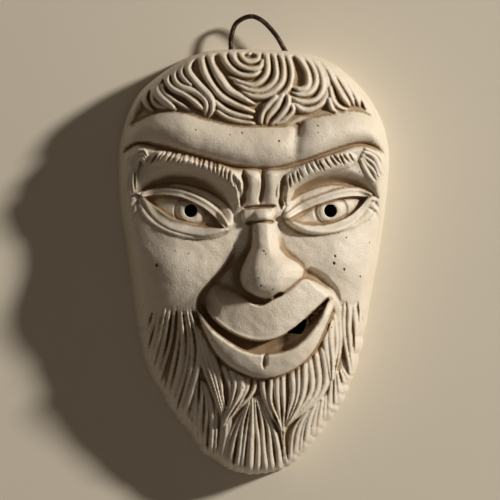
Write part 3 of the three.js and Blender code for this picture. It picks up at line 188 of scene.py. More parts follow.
@dataclass(frozen=True)
class Eye:
    """One eye: the opening's edges, the outer edges of both lids, the pupil and the forms around it."""

    top: Rows
    low: Rows
    lid: Rows
    bag: Rows
    pupil: Pair
    socket: Form
    globe: Form
    cheek: Form


@dataclass(frozen=True)
class Brow:
    """A brow: its middle line, the number of notches and how they lean at both ends, in degrees."""

    line: Rows
    notches: int
    lean: Pair


@dataclass(frozen=True)
class Crumbs:
    """Plaster crumbs under the slab: how many, their shares of its length, their drop, size and height."""

    count: int = 30
    share: Pair = (0.8, 0.95)
    drop: Pair = (0.0, 7.0)
    radius: Pair = (0.9, 2.1)
    size: Pair = (0.5, 1.0)
    height: float = 6.0


@dataclass(frozen=True)
class LockCut:
    """How a lock is divided into strands, with the spans that their irregularities come from."""

    widths: Pair = (0.75, 1.3)
    crown: float = 0.9
    uneven_crown: Pair = (-0.5, 0.4)
    sway: Pair = (0.3, 0.9)
    turns: Pair = (0.7, 1.5)
    phase: Pair = (0.0, 1.0)
    start: Pair = (-2.0, 7.0)
    places: int = 21
    full_sway_width: float = 4.0
    least_lock: float = 6.0
    half_share: float = 0.56
    least_half: float = 1.35
    fullness: float = 0.52
    end_drop: float = 2.0


@dataclass(frozen=True)
class HairCut:
    """How the single strands of the hair are rounded, with the spans of their irregularities."""

    groove: float = 5.4
    floor: float = 4.5
    fullness: float = 0.42
    end_drop: float = 2.6
    crest: float = 0.5
    crest_gain: float = 0.3
    usual_half: float = 3.0
    uneven_crest: Pair = (-0.9, 0.7)
    uneven_width: Pair = (0.84, 1.16)
    widening: float = 1.2
    taper: tuple[float, ...] = (0.85, 1.0, 1.06, 1.0, 0.9, 0.55)
    tip_drop: float = 0.5
    band_floor: float = 1.3
    band_reach: Pair = (1.0, 10.0)
    rim_level: float = -0.4
    rim_reach: Pair = (2.0, 9.0)
    lift: float = 1.6
    lift_reach: Pair = (0.0, 12.0)


@dataclass(frozen=True)
class Scallops:
    """How the rim follows the beard's grooves: where they are measured, how strongly, and how far."""

    inside: float = 3.0
    full_growth: float = 20.0
    share: float = 0.8
    level: float = 0.5
    most: float = 2.2
    reach: Pair = (4.0, 24.0)


@dataclass(frozen=True)
class UnderLip:
    """Where the beard stands crisply under the lip: columns at both sides, rows above, and how much."""

    left: Pair = (-72.0, -56.0)
    right: Pair = (74.0, 84.0)
    top: Pair = (156.0, 170.0)
    growth: float = 14.0


@dataclass(frozen=True)
class Skin:
    """The skin below the band: the swell under it, the temples' hair and the turn into the sides."""

    swell: float = 3.4
    swell_rise: float = 7.0
    swell_flat: float = 6.0
    swell_spread: float = 340.0
    swell_rows: Pair = (242.0, 272.0)
    temple_lift: float = 0.9
    temple_blend: float = 0.5
    steepness: Pair = (0.34, 0.22)
    turn_round: float = 4.0


@dataclass(frozen=True)
class BrowCut:
    """The swell of a brow, and the spans of the slanting notches across it."""

    height: float = 3.0
    half: float = 9.0
    ends: Pair = (0.1, 0.1)
    shape: float = 0.8
    margin: float = 0.03
    place: Pair = (0.25, 0.75)
    above: Pair = (0.5, 3.0)
    lean: Pair = (-9.0, 9.0)
    reach: float = 6.6
    notch_half: Pair = (1.2, 1.8)
    notch_ends: Pair = (0.45, 0.3)
    notch_share: Pair = (0.55, 1.15)
    depth: float = 1.9


@dataclass(frozen=True)
class Fold:
    """The hollow that the left cheek stands over: its depth, and where its sides and ends run out."""

    depth: float = 8.5
    wall: Pair = (0.0, 5.0)
    far_side: Pair = (14.0, 40.0)
    top_end: Pair = (206.0, 234.0)
    low_end: Pair = (147.0, 162.0)
    columns: Pair = (-64.0, 10.0)
    rows: Pair = (140.0, 240.0)


@dataclass(frozen=True)
class NoseCut:
    """How the nose is rounded from its ball, the first of two values, to its bridge, the second."""

    rows: Pair = (171.0, 272.0)
    side_rows: tuple[float, float, float] = (172.0, 262.0, 2.0)
    corner: float = 3.0
    turning: Pair = (206.0, 226.0)
    left_power: float = 3.2
    right_power: Pair = (2.6, 1.6)
    right_round: Pair = (0.5, 0.85)
    sunk: float = 1.0
    root: float = 4.0
    corner_fill: Pair = (0.8, 4.2)
    fill_columns: Pair = (12.0, 26.0)


@dataclass(frozen=True)
class SlabCut:
    """The upper lip's slab: its bow, its swell at the top and at the low edge, its bead and its ends."""

    middle: float = 8.0
    half: float = 72.0
    base: float = 2.0
    bow: Pair = (5.6, 2.2)
    bead: float = 0.5
    bead_at: float = 2.0
    bead_half: float = 1.8
    edge: Pair = (0.72, 1.0)
    edge_reach: Pair = (-0.2, 2.6)
    top_reach: Pair = (-0.5, 1.0)
    left_reach: float = 20.0
    left_columns: Pair = (-34.0, 0.0)
    right_reach: float = 7.0
    right_columns: Pair = (48.0, 62.0)


@dataclass(frozen=True)
class SlotCut:
    """The mouth's slot: its depth, and its floor's rise towards the lip at the left and in the middle."""

    depth: float = 9.0
    rise: Pair = (3.5, 8.0)
    columns: Pair = (-24.0, 10.0)
    power: float = 1.2


@dataclass(frozen=True)
class LipCut:
    """The lower lip: its section, its thinner ends and the notch in its middle."""

    level: float = 0.6
    swell: float = 5.9
    base: float = 0.6
    spread: float = 0.97
    power: float = 3.0
    ends: Pair = (0.35, 1.0)
    left_end: Pair = (0.0, 0.12)
    right_end: Pair = (0.9, 1.0)
    edge: Pair = (0.72, 1.0)
    edge_reach: Pair = (-1.0, 3.5)
    notch: float = 2.8
    notch_half: float = 3.0
    notch_ends: Pair = (0.01, 0.3)


@dataclass(frozen=True)
class EyeCut:
    """An eyeball's sink under its lids, its rings as height, radius and half width, and both lids."""

    low_drop: float = 1.6
    low_reach: float = 2.0
    top_drop: float = 0.9
    top_reach: float = 9.0
    lid_edge: float = 1.6
    rings: Rows = ((-0.7, 15.3, 2.2), (0.45, 9.8, 1.6), (0.45, 7.6, 1.5))
    lid: float = 1.5
    brim: float = 0.9
    brim_at: float = 0.72
    brim_half: float = 0.22
    bag: float = 2.6
    bag_power: float = 2.4
    full: Pair = (0.5, 5.0)


@dataclass(frozen=True)
class BandCut:
    """The rolled band: its section, its fall at the rim, its bend at the left and the tuft over it."""

    height: float = 6.0
    crest: float = 0.55
    low_fall: float = 0.85
    rim_share: Pair = (0.55, 1.0)
    rim_reach: Pair = (0.0, 14.0)
    bend: float = 0.0016
    bend_from: float = -60.0
    bend_reach: float = 80.0
    tuft_reach: float = 8.0
    tuft_lift: float = 1.0


@dataclass(frozen=True)
class Collar:
    """The collar at the root of the nose and the two grooves beside it."""

    height: float = 3.0
    half: float = 6.5
    ends: Pair = (0.1, 0.1)
    shape: float = 0.6
    groove: float = 2.0
    groove_half: float = 2.2


@dataclass(frozen=True)
class Wave:
    """One waviness of a hand-worked surface: height, lengths along x and y, and how its rows wander."""

    height: float
    length: Pair
    wander_length: Pair
    wander: Pair


WAVES: tuple[Wave, ...] = (
    Wave(0.36, (11.0, 13.0), (17.0, 19.0), (1.7, 1.3)),
    Wave(0.12, (4.3, 5.2), (6.1, 7.7), (2.1, 1.9)),
)


@dataclass(frozen=True)
class HoleCut:
    """An air hole's depth as a share of its radius, and how far its slope reaches past the radius."""

    depth: float = 1.1
    slope: float = 1.25
    # Most painted shade at the middle of an air hole's floor, as a share of the near-black colour
    darkest: float = 0.85
    rings: tuple[tuple[float, int], ...] = ((0.0, 1), (0.6, 6), (1.0, 9), (1.3, 12), (2.2, 10))


HOLE = HoleCut()


# The left and the right eye
EYES: tuple[Eye, ...] = (
    Eye(
        top=((-109, 276), (-94, 278.5), (-74, 276.5), (-55, 269), (-40, 258), (-29, 245)),
        low=((-109, 276), (-97, 266), (-82, 255.5), (-64, 249), (-46, 245.5), (-29, 245)),
        lid=((-116, 280), (-96, 285), (-74, 284), (-52, 276), (-34, 263.5), (-23, 248)),
        bag=((-112, 277), (-102, 259), (-86, 246), (-64, 239), (-44, 237), (-24, 243)),
        pupil=(-62, 262.5),
        socket=Form((-67, 270), (47, 31), 8.5, -10),
        globe=Form((-67, 262), (48, 26), 6.4, -14),
        cheek=Form((-93, 208), (56, 44), 8.5, 12),
    ),
    Eye(
        top=((33, 254), (49, 263), (66, 270), (83, 275), (98, 277), (112, 276)),
        low=((33, 254), (49, 248.5), (71, 249), (91, 256), (103, 265), (112, 276)),
        lid=((27, 257), (46, 270), (66, 278.5), (86, 284.5), (102, 285.5), (118, 279)),
        bag=((29, 252), (46, 241), (68, 238.5), (89, 244), (105, 256), (116, 274)),
        pupil=(75, 262.5),
        socket=Form((76, 271), (44, 29), 7.4, 6),
        globe=Form((74, 264), (46, 24), 5.6, 10),
        cheek=Form((86, 216), (34, 34), 4.2, -15),
    ),
)

# The brows, each from its left end to its right
BROWS: tuple[Brow, ...] = (
    Brow(
        ((-102, 310), (-87, 314), (-64, 312), (-42, 305), (-24, 295), (-14, 282), (-16, 269)), 22, (55, 100),
    ),
    Brow(((30, 268), (32, 285), (44, 296), (64, 305), (84, 311), (101, 314)), 17, (95, 130)),
)

# Furrows between the brows, under the right cheek and at the outer corners of the eyes
FURROWS: tuple[Furrow, ...] = (
    Furrow(((-11, 302), (-8, 286), (-13, 266)), 4.6, 4.0, (0.2, 0.2)),
    Furrow(((30, 297), (27, 282), (26, 263)), 4.0, 3.6, (0.2, 0.2)),
    Furrow(((8, 302), (9, 286), (5, 267)), 3.4, 2.6),
    Furrow(((47, 203), (60, 198), (70, 191), (79, 183), (86, 168)), 8.0, 3.0, (0.1, 0.6)),
    Furrow(((115, 280), (119, 278), (123, 273)), 2.6, 1.2, (0.2, 0.3)),
    Furrow(((114, 273), (120, 269), (124, 261)), 2.6, 1.2, (0.2, 0.3)),
    Furrow(((112, 266), (120, 260), (123, 250)), 2.6, 1.2, (0.2, 0.3)),
    Furrow(((-112, 272), (-118, 269), (-123, 260)), 2.8, 0.7, (0.2, 0.3)),
    Furrow(((-110, 266), (-116, 260), (-120, 248)), 2.8, 0.7, (0.2, 0.3)),
    Furrow(((-114, 278), (-121, 277), (-127, 271)), 2.8, 0.7, (0.2, 0.3)),
)

# The knot between the brows, and the collar at the root of the nose
KNOT: tuple[Form, ...] = (
    Form((-2, 282), (9, 24), 2.4),
    Form((17, 282), (8, 24), 2.4),
    Form((8, 299), (5, 5), -1.8),
)
COLLAR: Rows = ((-13, 257), (-4, 257.5), (8, 259), (21, 259))
COLLAR_GROOVES: tuple[Rows, ...] = (((-11, 265), (4, 266), (22, 267)), ((-8, 250), (6, 252), (20, 251)))

NOSTRIL = Furrow(((17, 176.5), (22, 180), (29, 182.5)), 2.2, 6.0, (0.3, 0.3))

# Locks of the beard
BEARD: tuple[Lock, ...] = (
    # lower row
    Lock(((-7, 76), (-24, 44), (-36, -3)), ((5, 84), (22, 47), (31, -4)), 9, -1.2, 0.2),
    Lock(((-55, 98), (-61, 67), (-63, 16)), ((-46, 94), (-35, 67), (-37, 20)), 5, -1.0, 0.0),
    Lock(((52, 68), (35, 40), (33, -3)), ((72, 84), (72, 60), (71, 28)), 7, -1.0, 0.0),
    Lock(((-68, 74), (-70, 60), (-73, 30)), ((-55, 88), (-60, 62), (-61, 16)), 3, -1.6, -1.0),
    Lock(((-48, 92), (-32, 60), (-36, 18)), ((-32, 72), (-22, 56), (-33, 0)), 3, -1.6, -0.6),
    Lock(((20, 60), (26, 42), (30, 6)), ((36, 62), (30, 40), (34, 6)), 2, -1.4, -0.6),
    Lock(((75, 106), (72, 80), (74, 40)), ((89, 106), (98, 92), (107, 68)), 5, -0.8, 0.0),
    # sides
    Lock(((-113, 170), (-120, 144), (-128, 108)), ((-98, 169), (-106, 142), (-122, 90)), 3, -0.4, -0.4),
    Lock(((110, 174), (112, 140), (105, 98)), ((118, 176), (117, 147), (110, 114)), 2, -0.4, -0.4),
    Lock(((-98, 169), (-106, 142), (-122, 90)), ((-76, 169), (-82, 127), (-103, 62)), 5, 0.0, 0.0),
    Lock(((-75, 169), (-78, 127), (-96, 54)), ((-63, 172), (-51, 117), (-71, 44)), 5, 0.2, 0.6),
    # under the lip
    Lock(((-60, 156), (-51, 110), (-33, 60)), ((-42, 130), (-33, 104), (-27, 70)), 4, 0.0, 0.6),
    Lock(((-34, 114), (-25, 87), (-32, 52)), ((4, 101), (-1, 82), (-30, 50)), 5, 0.2, 0.8),
    Lock(((5, 100), (8, 76), (26, 46)), ((32, 104), (31, 77), (29, 46)), 4, 0.2, 0.8),
    Lock(((34, 106), (34, 80), (30, 50)), ((70, 132), (71, 87), (34, 52)), 6, 0.2, 0.8),
    Lock(((69, 144), (68, 122), (75, 96)), ((84, 174), (87, 137), (79, 96)), 4, 0.2, 0.6),
    Lock(((86, 172), (86, 142), (96, 90)), ((110, 175), (112, 137), (104, 92)), 5, 0.0, 0.4),
)

# Single strands of the hair: half width, then points from root to tip
HAIR: tuple[tuple[float, Rows], ...] = (
    # left side
    (2.4, ((-113, 385), (-124, 363), (-131, 343))),
    (2.2, ((-119, 375), (-127, 360), (-133, 346))),
    (2.6, ((-107, 390), (-117, 372), (-121, 348))),
    (2.8, ((-104.5, 387), (-108, 374), (-104, 365), (-96, 358))),
    (2.8, ((-100, 380), (-100, 372), (-95, 366), (-83, 362))),
    (2.6, ((-91, 388), (-88, 378), (-76, 369), (-62, 361))),
    # sweep from the crown to the left of the band
    (4.2, ((-88, 402), (-96, 390), (-97, 382), (-91, 373), (-75, 360))),
    (3.2, ((-83, 402), (-86, 392), (-81, 383), (-65, 374), (-48, 360))),
    (3.6, ((-75, 410), (-79, 396), (-73, 385), (-58, 379), (-47, 368), (-48, 352))),
    (2.8, ((-70, 408), (-72, 398), (-67, 390), (-59, 384))),
    (4.2, ((-63, 413), (-65, 401), (-57, 389), (-42, 372), (-41, 360), (-46, 352))),
    (3.8, ((-53, 417), (-48, 397), (-35, 377), (-20, 367), (0, 359))),
    (3.6, ((-44, 419), (-40, 404), (-27, 383), (-14, 374), (0, 367))),
    # curl at the crown
    (3.4, ((-33, 424), (-28, 409), (-16, 397), (-2, 395), (8, 400))),
    (3.2, ((-23, 424), (-18, 409), (-7, 402), (5, 403), (9, 412))),
    (3.0, ((-14, 424), (-12, 414), (-5, 409), (3, 411), (4, 417), (-2, 420), (-6, 416))),
    (3.2, ((-40, 371), (-30, 362), (-16, 355.5), (0, 353))),
    (3.0, ((-38, 361), (-27, 353.5), (-13, 349), (3, 347.5))),
    # locks that swing under the curl
    (3.2, ((10, 424), (13, 410), (12, 396), (2, 386), (-10, 387), (-25, 394))),
    (3.2, ((17, 423), (21, 408), (21, 392), (10, 381), (-4, 380), (-20, 388))),
    (3.4, ((25, 420), (29, 404), (27, 388), (14, 376), (0, 374), (-14, 380))),
    (3.2, ((32, 418), (37, 400), (34, 383), (22, 372), (8, 366))),
    # lock right of the middle
    (3.4, ((42, 418), (52, 400), (53, 386), (46, 381), (37, 384))),
    (3.4, ((49, 418), (59, 402), (61, 388), (54, 378), (44, 376), (35, 379))),
    (3.6, ((57, 415), (66, 399), (68, 383), (60, 371), (46, 369), (33, 375))),
    (3.8, ((66, 408), (71, 396), (72, 378), (63, 365), (49, 361), (34, 371))),
    # right side
    (3.4, ((68, 412), (76, 396), (86, 377), (95, 364))),
    (3.2, ((76, 408), (84, 394), (94, 377), (99, 364))),
    (3.2, ((84, 403), (93, 389), (101, 374), (104, 364))),
    (3.0, ((92, 396), (101, 385), (108, 372), (111, 360))),
    (3.0, ((102, 389), (110, 378), (116, 366), (119, 355))),
    (2.6, ((112, 378), (119, 367), (126, 350))),
    (3.0, ((74, 386), (78, 370), (86, 363), (95, 362))),
    (2.8, ((73, 374), (77, 362), (86, 358))),
    # tuft that falls on the band
    (3.0, ((23, 376), (11, 362), (7, 352), (8, 344))),
    (3.2, ((29, 378), (22, 365), (14, 354), (11, 344))),
    (3.2, ((33, 377), (33, 366), (25, 354), (14, 344))),
    (3.0, ((36, 368), (38, 360), (30, 351), (19, 345))),
)

# The curl at the left temple and the fan of strands at the right one
TEMPLE_HAIR: tuple[Lock, ...] = (
    Lock(
        ((-103, 315), (-108, 323.5), (-119, 318), (-125, 298), (-127, 276)),
        ((-108, 306), (-111, 311), (-113.5, 307), (-115, 297), (-114, 282)), 4, 0.6, -0.3,
    ),
    Lock(((107, 325), (124, 319), (132, 299)), ((103, 313), (107, 302), (117, 289)), 5, 0.2, -0.4),
)

# How far around a place the wash looks for higher ground, in squares, and how strongly each reach counts
WASH_REACH: tuple[tuple[int, float], ...] = ((2, 1.15), (4, 0.45), (9, 0.22), (20, 0.14))
# More wash stayed in the hair and at the brows: from which height to which, and how much more
HAIR_WASH: tuple[float, float, float] = (262.0, 300.0, 0.6)

# Air holes that show: place and radius
AIR_HOLES: tuple[tuple[float, float, float], ...] = (
    (79, 218, 1.1), (78, 211, 1.3), (88, 205, 1.1), (-95, 209, 1.3), (9, 223, 0.9), (11, 220, 0.7),
    (-12, 338, 0.8), (24, 330, 0.9), (62, 345, 0.7), (-57, 341, 0.7), (4, 197, 0.7), (6, 189, 0.8),
    (-6, 193, 0.6), (18, 186, 0.7), (90, 236, 0.8), (-64, 204, 0.6), (104, 198, 0.8),
)

# Middle line of the wire loop, as shares of half its span and of its rise, from the left leg to the right
LOOP_LINE: Rows = ((-1, 0), (-0.99, 0.34), (-0.8, 0.78), (-0.3, 1), (0.16, 0.88), (0.66, 0.46), (1, 0))


def ramp(value: Field, start: float, end: float) -> Field:
    """Rise smoothly from 0 at start to 1 at end."""
    share = np.clip((value - start) / (end - start), 0.0, 1.0)
    return share * share * (3.0 - 2.0 * share)


def mix(ends: Pair, share: Field) -> Field:
    """Go from the first of two values to the second by a share."""
    return ends[0] + (ends[1] - ends[0]) * share


def within(value: Field, span: Pair) -> Field:
    """Tell which values lie between two limits."""
    return (value > span[0]) & (value < span[1])


def share_across(first: Field, second: Field) -> Field:
    """Give the share of the way across, from the distances to both edges."""
    return first / (first + second + TINY)


def dome(distance: Field) -> Field:
    """Give 1 in the middle of a rounded form and 0 from its edge, at a distance of 1, on."""
    return np.clip(1.0 - distance**2, 0.0, 1.0)


def unevenness(x: Field, y: Field) -> Field:
    """Give the slight waviness of a surface that was worked by hand."""
    out = np.zeros(x.shape)
    for wave in WAVES:
        along = np.sin(x / wave.length[0] + wave.wander[0] * np.sin(y / wave.wander_length[0]))
        up = np.sin(y / wave.length[1] + wave.wander[1] * np.sin(x / wave.wander_length[1]))
        out += wave.height * along * up
    return out


def blend(first: Field, second: Field, width: float) -> Field:
    """Take the larger of two heights and fill the corner between them over a width."""
    share = np.clip(0.5 + 0.5 * (first - second) / width, 0.0, 1.0)
    return second + (first - second) * share + width * share * (1.0 - share)


def from_ellipse(x: Field, y: Field, form: Form) -> Field:
    """Measure the squared distance from a form's middle, 1 on its edge."""
    angle = math.radians(form.turn)
    dx, dy = x - form.at[0], y - form.at[1]
    across = (dx * math.cos(angle) + dy * math.sin(angle)) / form.size[0]
    up = (-dx * math.sin(angle) + dy * math.cos(angle)) / form.size[1]
    return across * across + up * up


def mound(x: Field, y: Field, form: Form) -> Field:
    """Raise a soft heap that fades out around the form's edge."""
    return form.height * np.exp(-MOUND_FALL * from_ellipse(x, y, form))


def bowl(x: Field, y: Field, form: Form) -> Field:
    """Raise a flat-topped heap with steep sides."""
    return form.height * (1.0 - ramp(np.sqrt(from_ellipse(x, y, form)), *BOWL_WALL))


def cap(x: Field, y: Field, form: Form) -> Field:
    """Raise a round cap that ends at the form's edge."""
    return form.height * np.sqrt(np.clip(1.0 - from_ellipse(x, y, form), 0.0, 1.0))


def look_up(rows: Rows, key: Field, column: int = 1, soften: float = 9.0) -> Field:
    """Read a column of a table whose rows start with a rising key, with its corners rounded.

    Args:
        rows: the table.
        key: where to read it.
        column: the column to read.
        soften: the reach over which a corner is rounded.

    Returns:
        The column's values at the keys.
    """
    keys, values = [row[0] for row in rows], [row[column] for row in rows]
    fine = np.arange(keys[0] - 3 * soften, keys[-1] + 3 * soften, 1.0)
    read = np.interp(fine, keys, values)
    window = np.hanning(2 * int(soften) + 1)
    padded = np.pad(read, int(soften), mode="edge")
    return np.interp(key, fine, np.convolve(padded, window / window.sum(), mode="valid"))


def put_in_scene(name: str, data: bpy.types.ID) -> bpy.types.Object:
    """Make an object of some data at the origin and link it to the scene."""
    made = bpy.data.objects.new(name, data)
    bpy.context.scene.collection.objects.link(made)
    return made


def smoothed(name: str, mesh: bpy.types.Mesh, sharp_angle: float) -> bpy.types.Object:
    """Make an object of a mesh with smooth faces and edges that stay sharp from an angle on."""
    mesh.shade_smooth()
    mesh.set_sharp_from_angle(angle=math.radians(sharp_angle))
    return put_in_scene(name, mesh)


def circle(count: int) -> Field:
    """Give places on a circle of radius 1."""
    turn = np.arange(count) / count * 2 * math.pi
    return np.stack([np.cos(turn), np.sin(turn)], -1)


def is_inside(x: Field, y: Field, ring: Field) -> Field:
    """Tell which places lie inside a closed ring of points."""
    found = np.zeros(x.shape, bool)
    for (ax, ay), (bx, by) in zip(ring, np.roll(ring, -1, axis=0)):
        if ay != by:
            found ^= ((ay > y) != (by > y)) & (x < (bx - ax) * (y - ay) / (by - ay) + ax)
    return found


class Line:
    """A smooth line through drawn points, kept as a fine polyline."""

    def __init__(self, points: Rows, closed: bool = False, pieces: int = 6) -> None:
        """Draw the line.

        Args:
            points: the drawn points.
            closed: whether the line runs back to its start.
            pieces: fine pieces between two drawn points.
        """
        drawn = np.asarray(points, float)
        if closed:
            ends = np.vstack([drawn[-1:], drawn, drawn[:2]])
        else:
            ends = np.vstack([2 * drawn[:1] - drawn[1:2], drawn, 2 * drawn[-1:] - drawn[-2:-1]])
        fine = []
        for a, b, c, d in zip(ends, ends[1:], ends[2:], ends[3:]):
            for share in np.arange(pieces) / pieces:
                bend = (2 * a - 5 * b + 4 * c - d) * share**2 + (3 * b - a - 3 * c + d) * share**3
                fine.append(0.5 * (2 * b + (c - a) * share + bend))
        fine.append(drawn[0] if closed else drawn[-1])
        self.set_points(np.array(fine))

    @classmethod
    def through(cls, points: Field) -> Line:
        """Make a line straight from point to point."""
        line = cls.__new__(cls)
        line.set_points(points)
        return line

    def set_points(self, points: Field) -> None:
        """Keep the polyline and the way along it."""
        self.points = points
        self.along = np.concatenate([[0.0], np.cumsum(np.hypot(*np.diff(points, axis=0).T))])
        self.length = float(self.along[-1])

    def at(self, shares: Field) -> Field:
        """Give the places at shares of the way along the line."""
        goal = np.asarray(shares) * self.length
        return np.stack([np.interp(goal, self.along, self.points[:, axis]) for axis in (0, 1)], -1)

    def spaced(self, gap: float) -> Field:
        """Give places about a gap apart along the whole line."""
        return self.at(np.linspace(0.0, 1.0, max(2, round(self.length / gap) + 1)))

    def around(self, x: Field, y: Field, reach: float) -> Field:
        """Pick the places within reach of the line's box."""
        low, high = self.points.min(0) - reach, self.points.max(0) + reach
        return np.nonzero((x > low[0]) & (x < high[0]) & (y > low[1]) & (y < high[1]))[0]

    def near(self, x: Field, y: Field) -> tuple[Field, Field, Field]:
        """Measure places against the line.

        Args:
            x: squares to the right.
            y: squares up.

        Returns:
            The distance to the line, the share of the way along it, and the side: 1 on its left.
        """
        best = np.full(x.shape, np.inf)
        share = np.zeros(x.shape)
        side = np.ones(x.shape)
        for i, (a, b) in enumerate(zip(self.points, self.points[1:])):
            step = b - a
            square = float(step @ step)
            if square < TINY**2:
                continue
            t = np.clip(((x - a[0]) * step[0] + (y - a[1]) * step[1]) / square, 0.0, 1.0)
            px, py = x - a[0] - t * step[0], y - a[1] - t * step[1]
            gap = px * px + py * py
            closer = gap < best
            best = np.where(closer, gap, best)
            way = (self.along[i] + t * (self.along[i + 1] - self.along[i])) / self.length
            share = np.where(closer, way, share)
            side = np.where(closer, np.where(step[0] * py - step[1] * px < 0, -1.0, 1.0), side)
        return np.sqrt(best), share, side


def end_share(share: Field, root: float, tip: float, power: float) -> Field:
    """Tell how much of a line's height is left near its ends."""
    left = np.sqrt(np.clip(share / root, 0.0, 1.0))
    return np.minimum(left, np.clip((1.0 - share) / tip, 0.0, 1.0) ** power)


def ridge(
    x: Field, y: Field, points: Rows, half: float, ends: Pair = (0.12, 0.12), shape: float = 1.0
) -> Field:
    """Raise a line that is 1 on its crest.

    Args:
        x: squares to the right.
        y: squares up.
        points: the drawn line.
        half: half its width.
        ends: the shares over which its ends run out.
        shape: how squarely its section stands.

    Returns:
        The height at each place.
    """
    line = Line(points)
    out = np.zeros(x.shape)
    spots = line.around(x, y, half)
    distance, share, _ = line.near(x[spots], y[spots])
    left = end_share(share, ends[0], ends[1], RIDGE_END_POWER)
    reach = half * np.maximum(RIDGE_LEAST_WIDTH, left)
    out[spots] = left * dome(distance / reach) ** shape
    return out


class Chance:
    """A repeatable row of chance numbers."""

    factor: int = 16807
    limit: int = 2147483647

    def __init__(self, seed: int) -> None:
        """Start the row."""
        self.state = seed

    def pick(self, low: float, high: float) -> float:
        """Give the next number between two limits."""
        self.state = self.state * self.factor % self.limit
        return low + (high - low) * self.state / self.limit


@dataclass(frozen=True)
class Section:
    """How a strand is rounded and how it ends.

    It has the depth of the groove beside it, its fullness, the drop at its ends and the depth of the
    ground. Its ends are shares of its length, and growths are reaches from where it leaves the skin.
    """

    groove: float
    fullness: float
    end_drop: float
    floor: float
    ends: Pair = (0.07, 0.12)
    end_power: float = 0.5
    growth: Pair = (-1.0, 9.0)
    floor_growth: Pair = (0.0, 12.0)


@dataclass(frozen=True)
class Strand:
    """One strand: its middle line, half widths at equal steps, the levels of root and tip, and its start."""

    line: Line
    halves: Field
    level: Pair
    section: Section
    start: float = 0.0

    def height(self, x: Field, y: Field, from_edge: Field | None) -> tuple[Field, Field]:
        """Measure the strand.

        Args:
            x: squares to the right.
            y: squares up.
            from_edge: how far each place lies below the line where the strands grow out of the skin.

        Returns:
            The numbers of the places on it and its height there.
        """
        spots = self.line.around(x, y, float(self.halves.max()))
        distance, share, _ = self.line.near(x[spots], y[spots])
        half = np.interp(share, np.linspace(0, 1, len(self.halves)), self.halves)
        on = distance < half
        spots, share, rise = spots[on], share[on], dome(distance[on] / half[on])
        section = self.section
        height = mix(self.level, share) - section.groove * (1.0 - rise**section.fullness)
        height -= section.end_drop * (1.0 - end_share(share, *section.ends, section.end_power))
        if from_edge is not None:
            height *= ramp(from_edge[spots] - self.start, *section.growth)
        return spots, height


def highest(strands: Sequence[Strand], x: Field, y: Field, from_edge: Field | None = None) -> Field:
    """Give the highest of some strands, or minus their groove where there is none."""
    section = strands[0].section
    out = np.full(x.shape, -section.floor)
    if from_edge is not None:
        out *= ramp(from_edge, *section.floor_growth)
    for strand in strands:
        spots, height = strand.height(x, y, from_edge)
        out[spots] = np.maximum(out[spots], height)
    return out


class Strip:
    """The area between two lines that run the same way."""

    def __init__(self, first: Line, second: Line) -> None:
        """Keep both lines and the outline between them."""
        self.first, self.second = first, second
        self.outline = np.vstack([first.points, second.points[::-1]])
        self.box = Line.through(self.outline)

    def across(self, x: Field, y: Field) -> tuple[Field, Field, Field, Field]:
        """Measure the places inside the strip.

        Args:
            x: squares to the right.
            y: squares up.

        Returns:
            The numbers of the places inside, their distances to the first and the second line, and
            the share of the way along the first line.
        """
        spots = self.box.around(x, y, TINY)
        spots = spots[is_inside(x[spots], y[spots], self.outline)]
        first, along, _ = self.first.near(x[spots], y[spots])
        second, _, _ = self.second.near(x[spots], y[spots])
        return spots, first, second, along


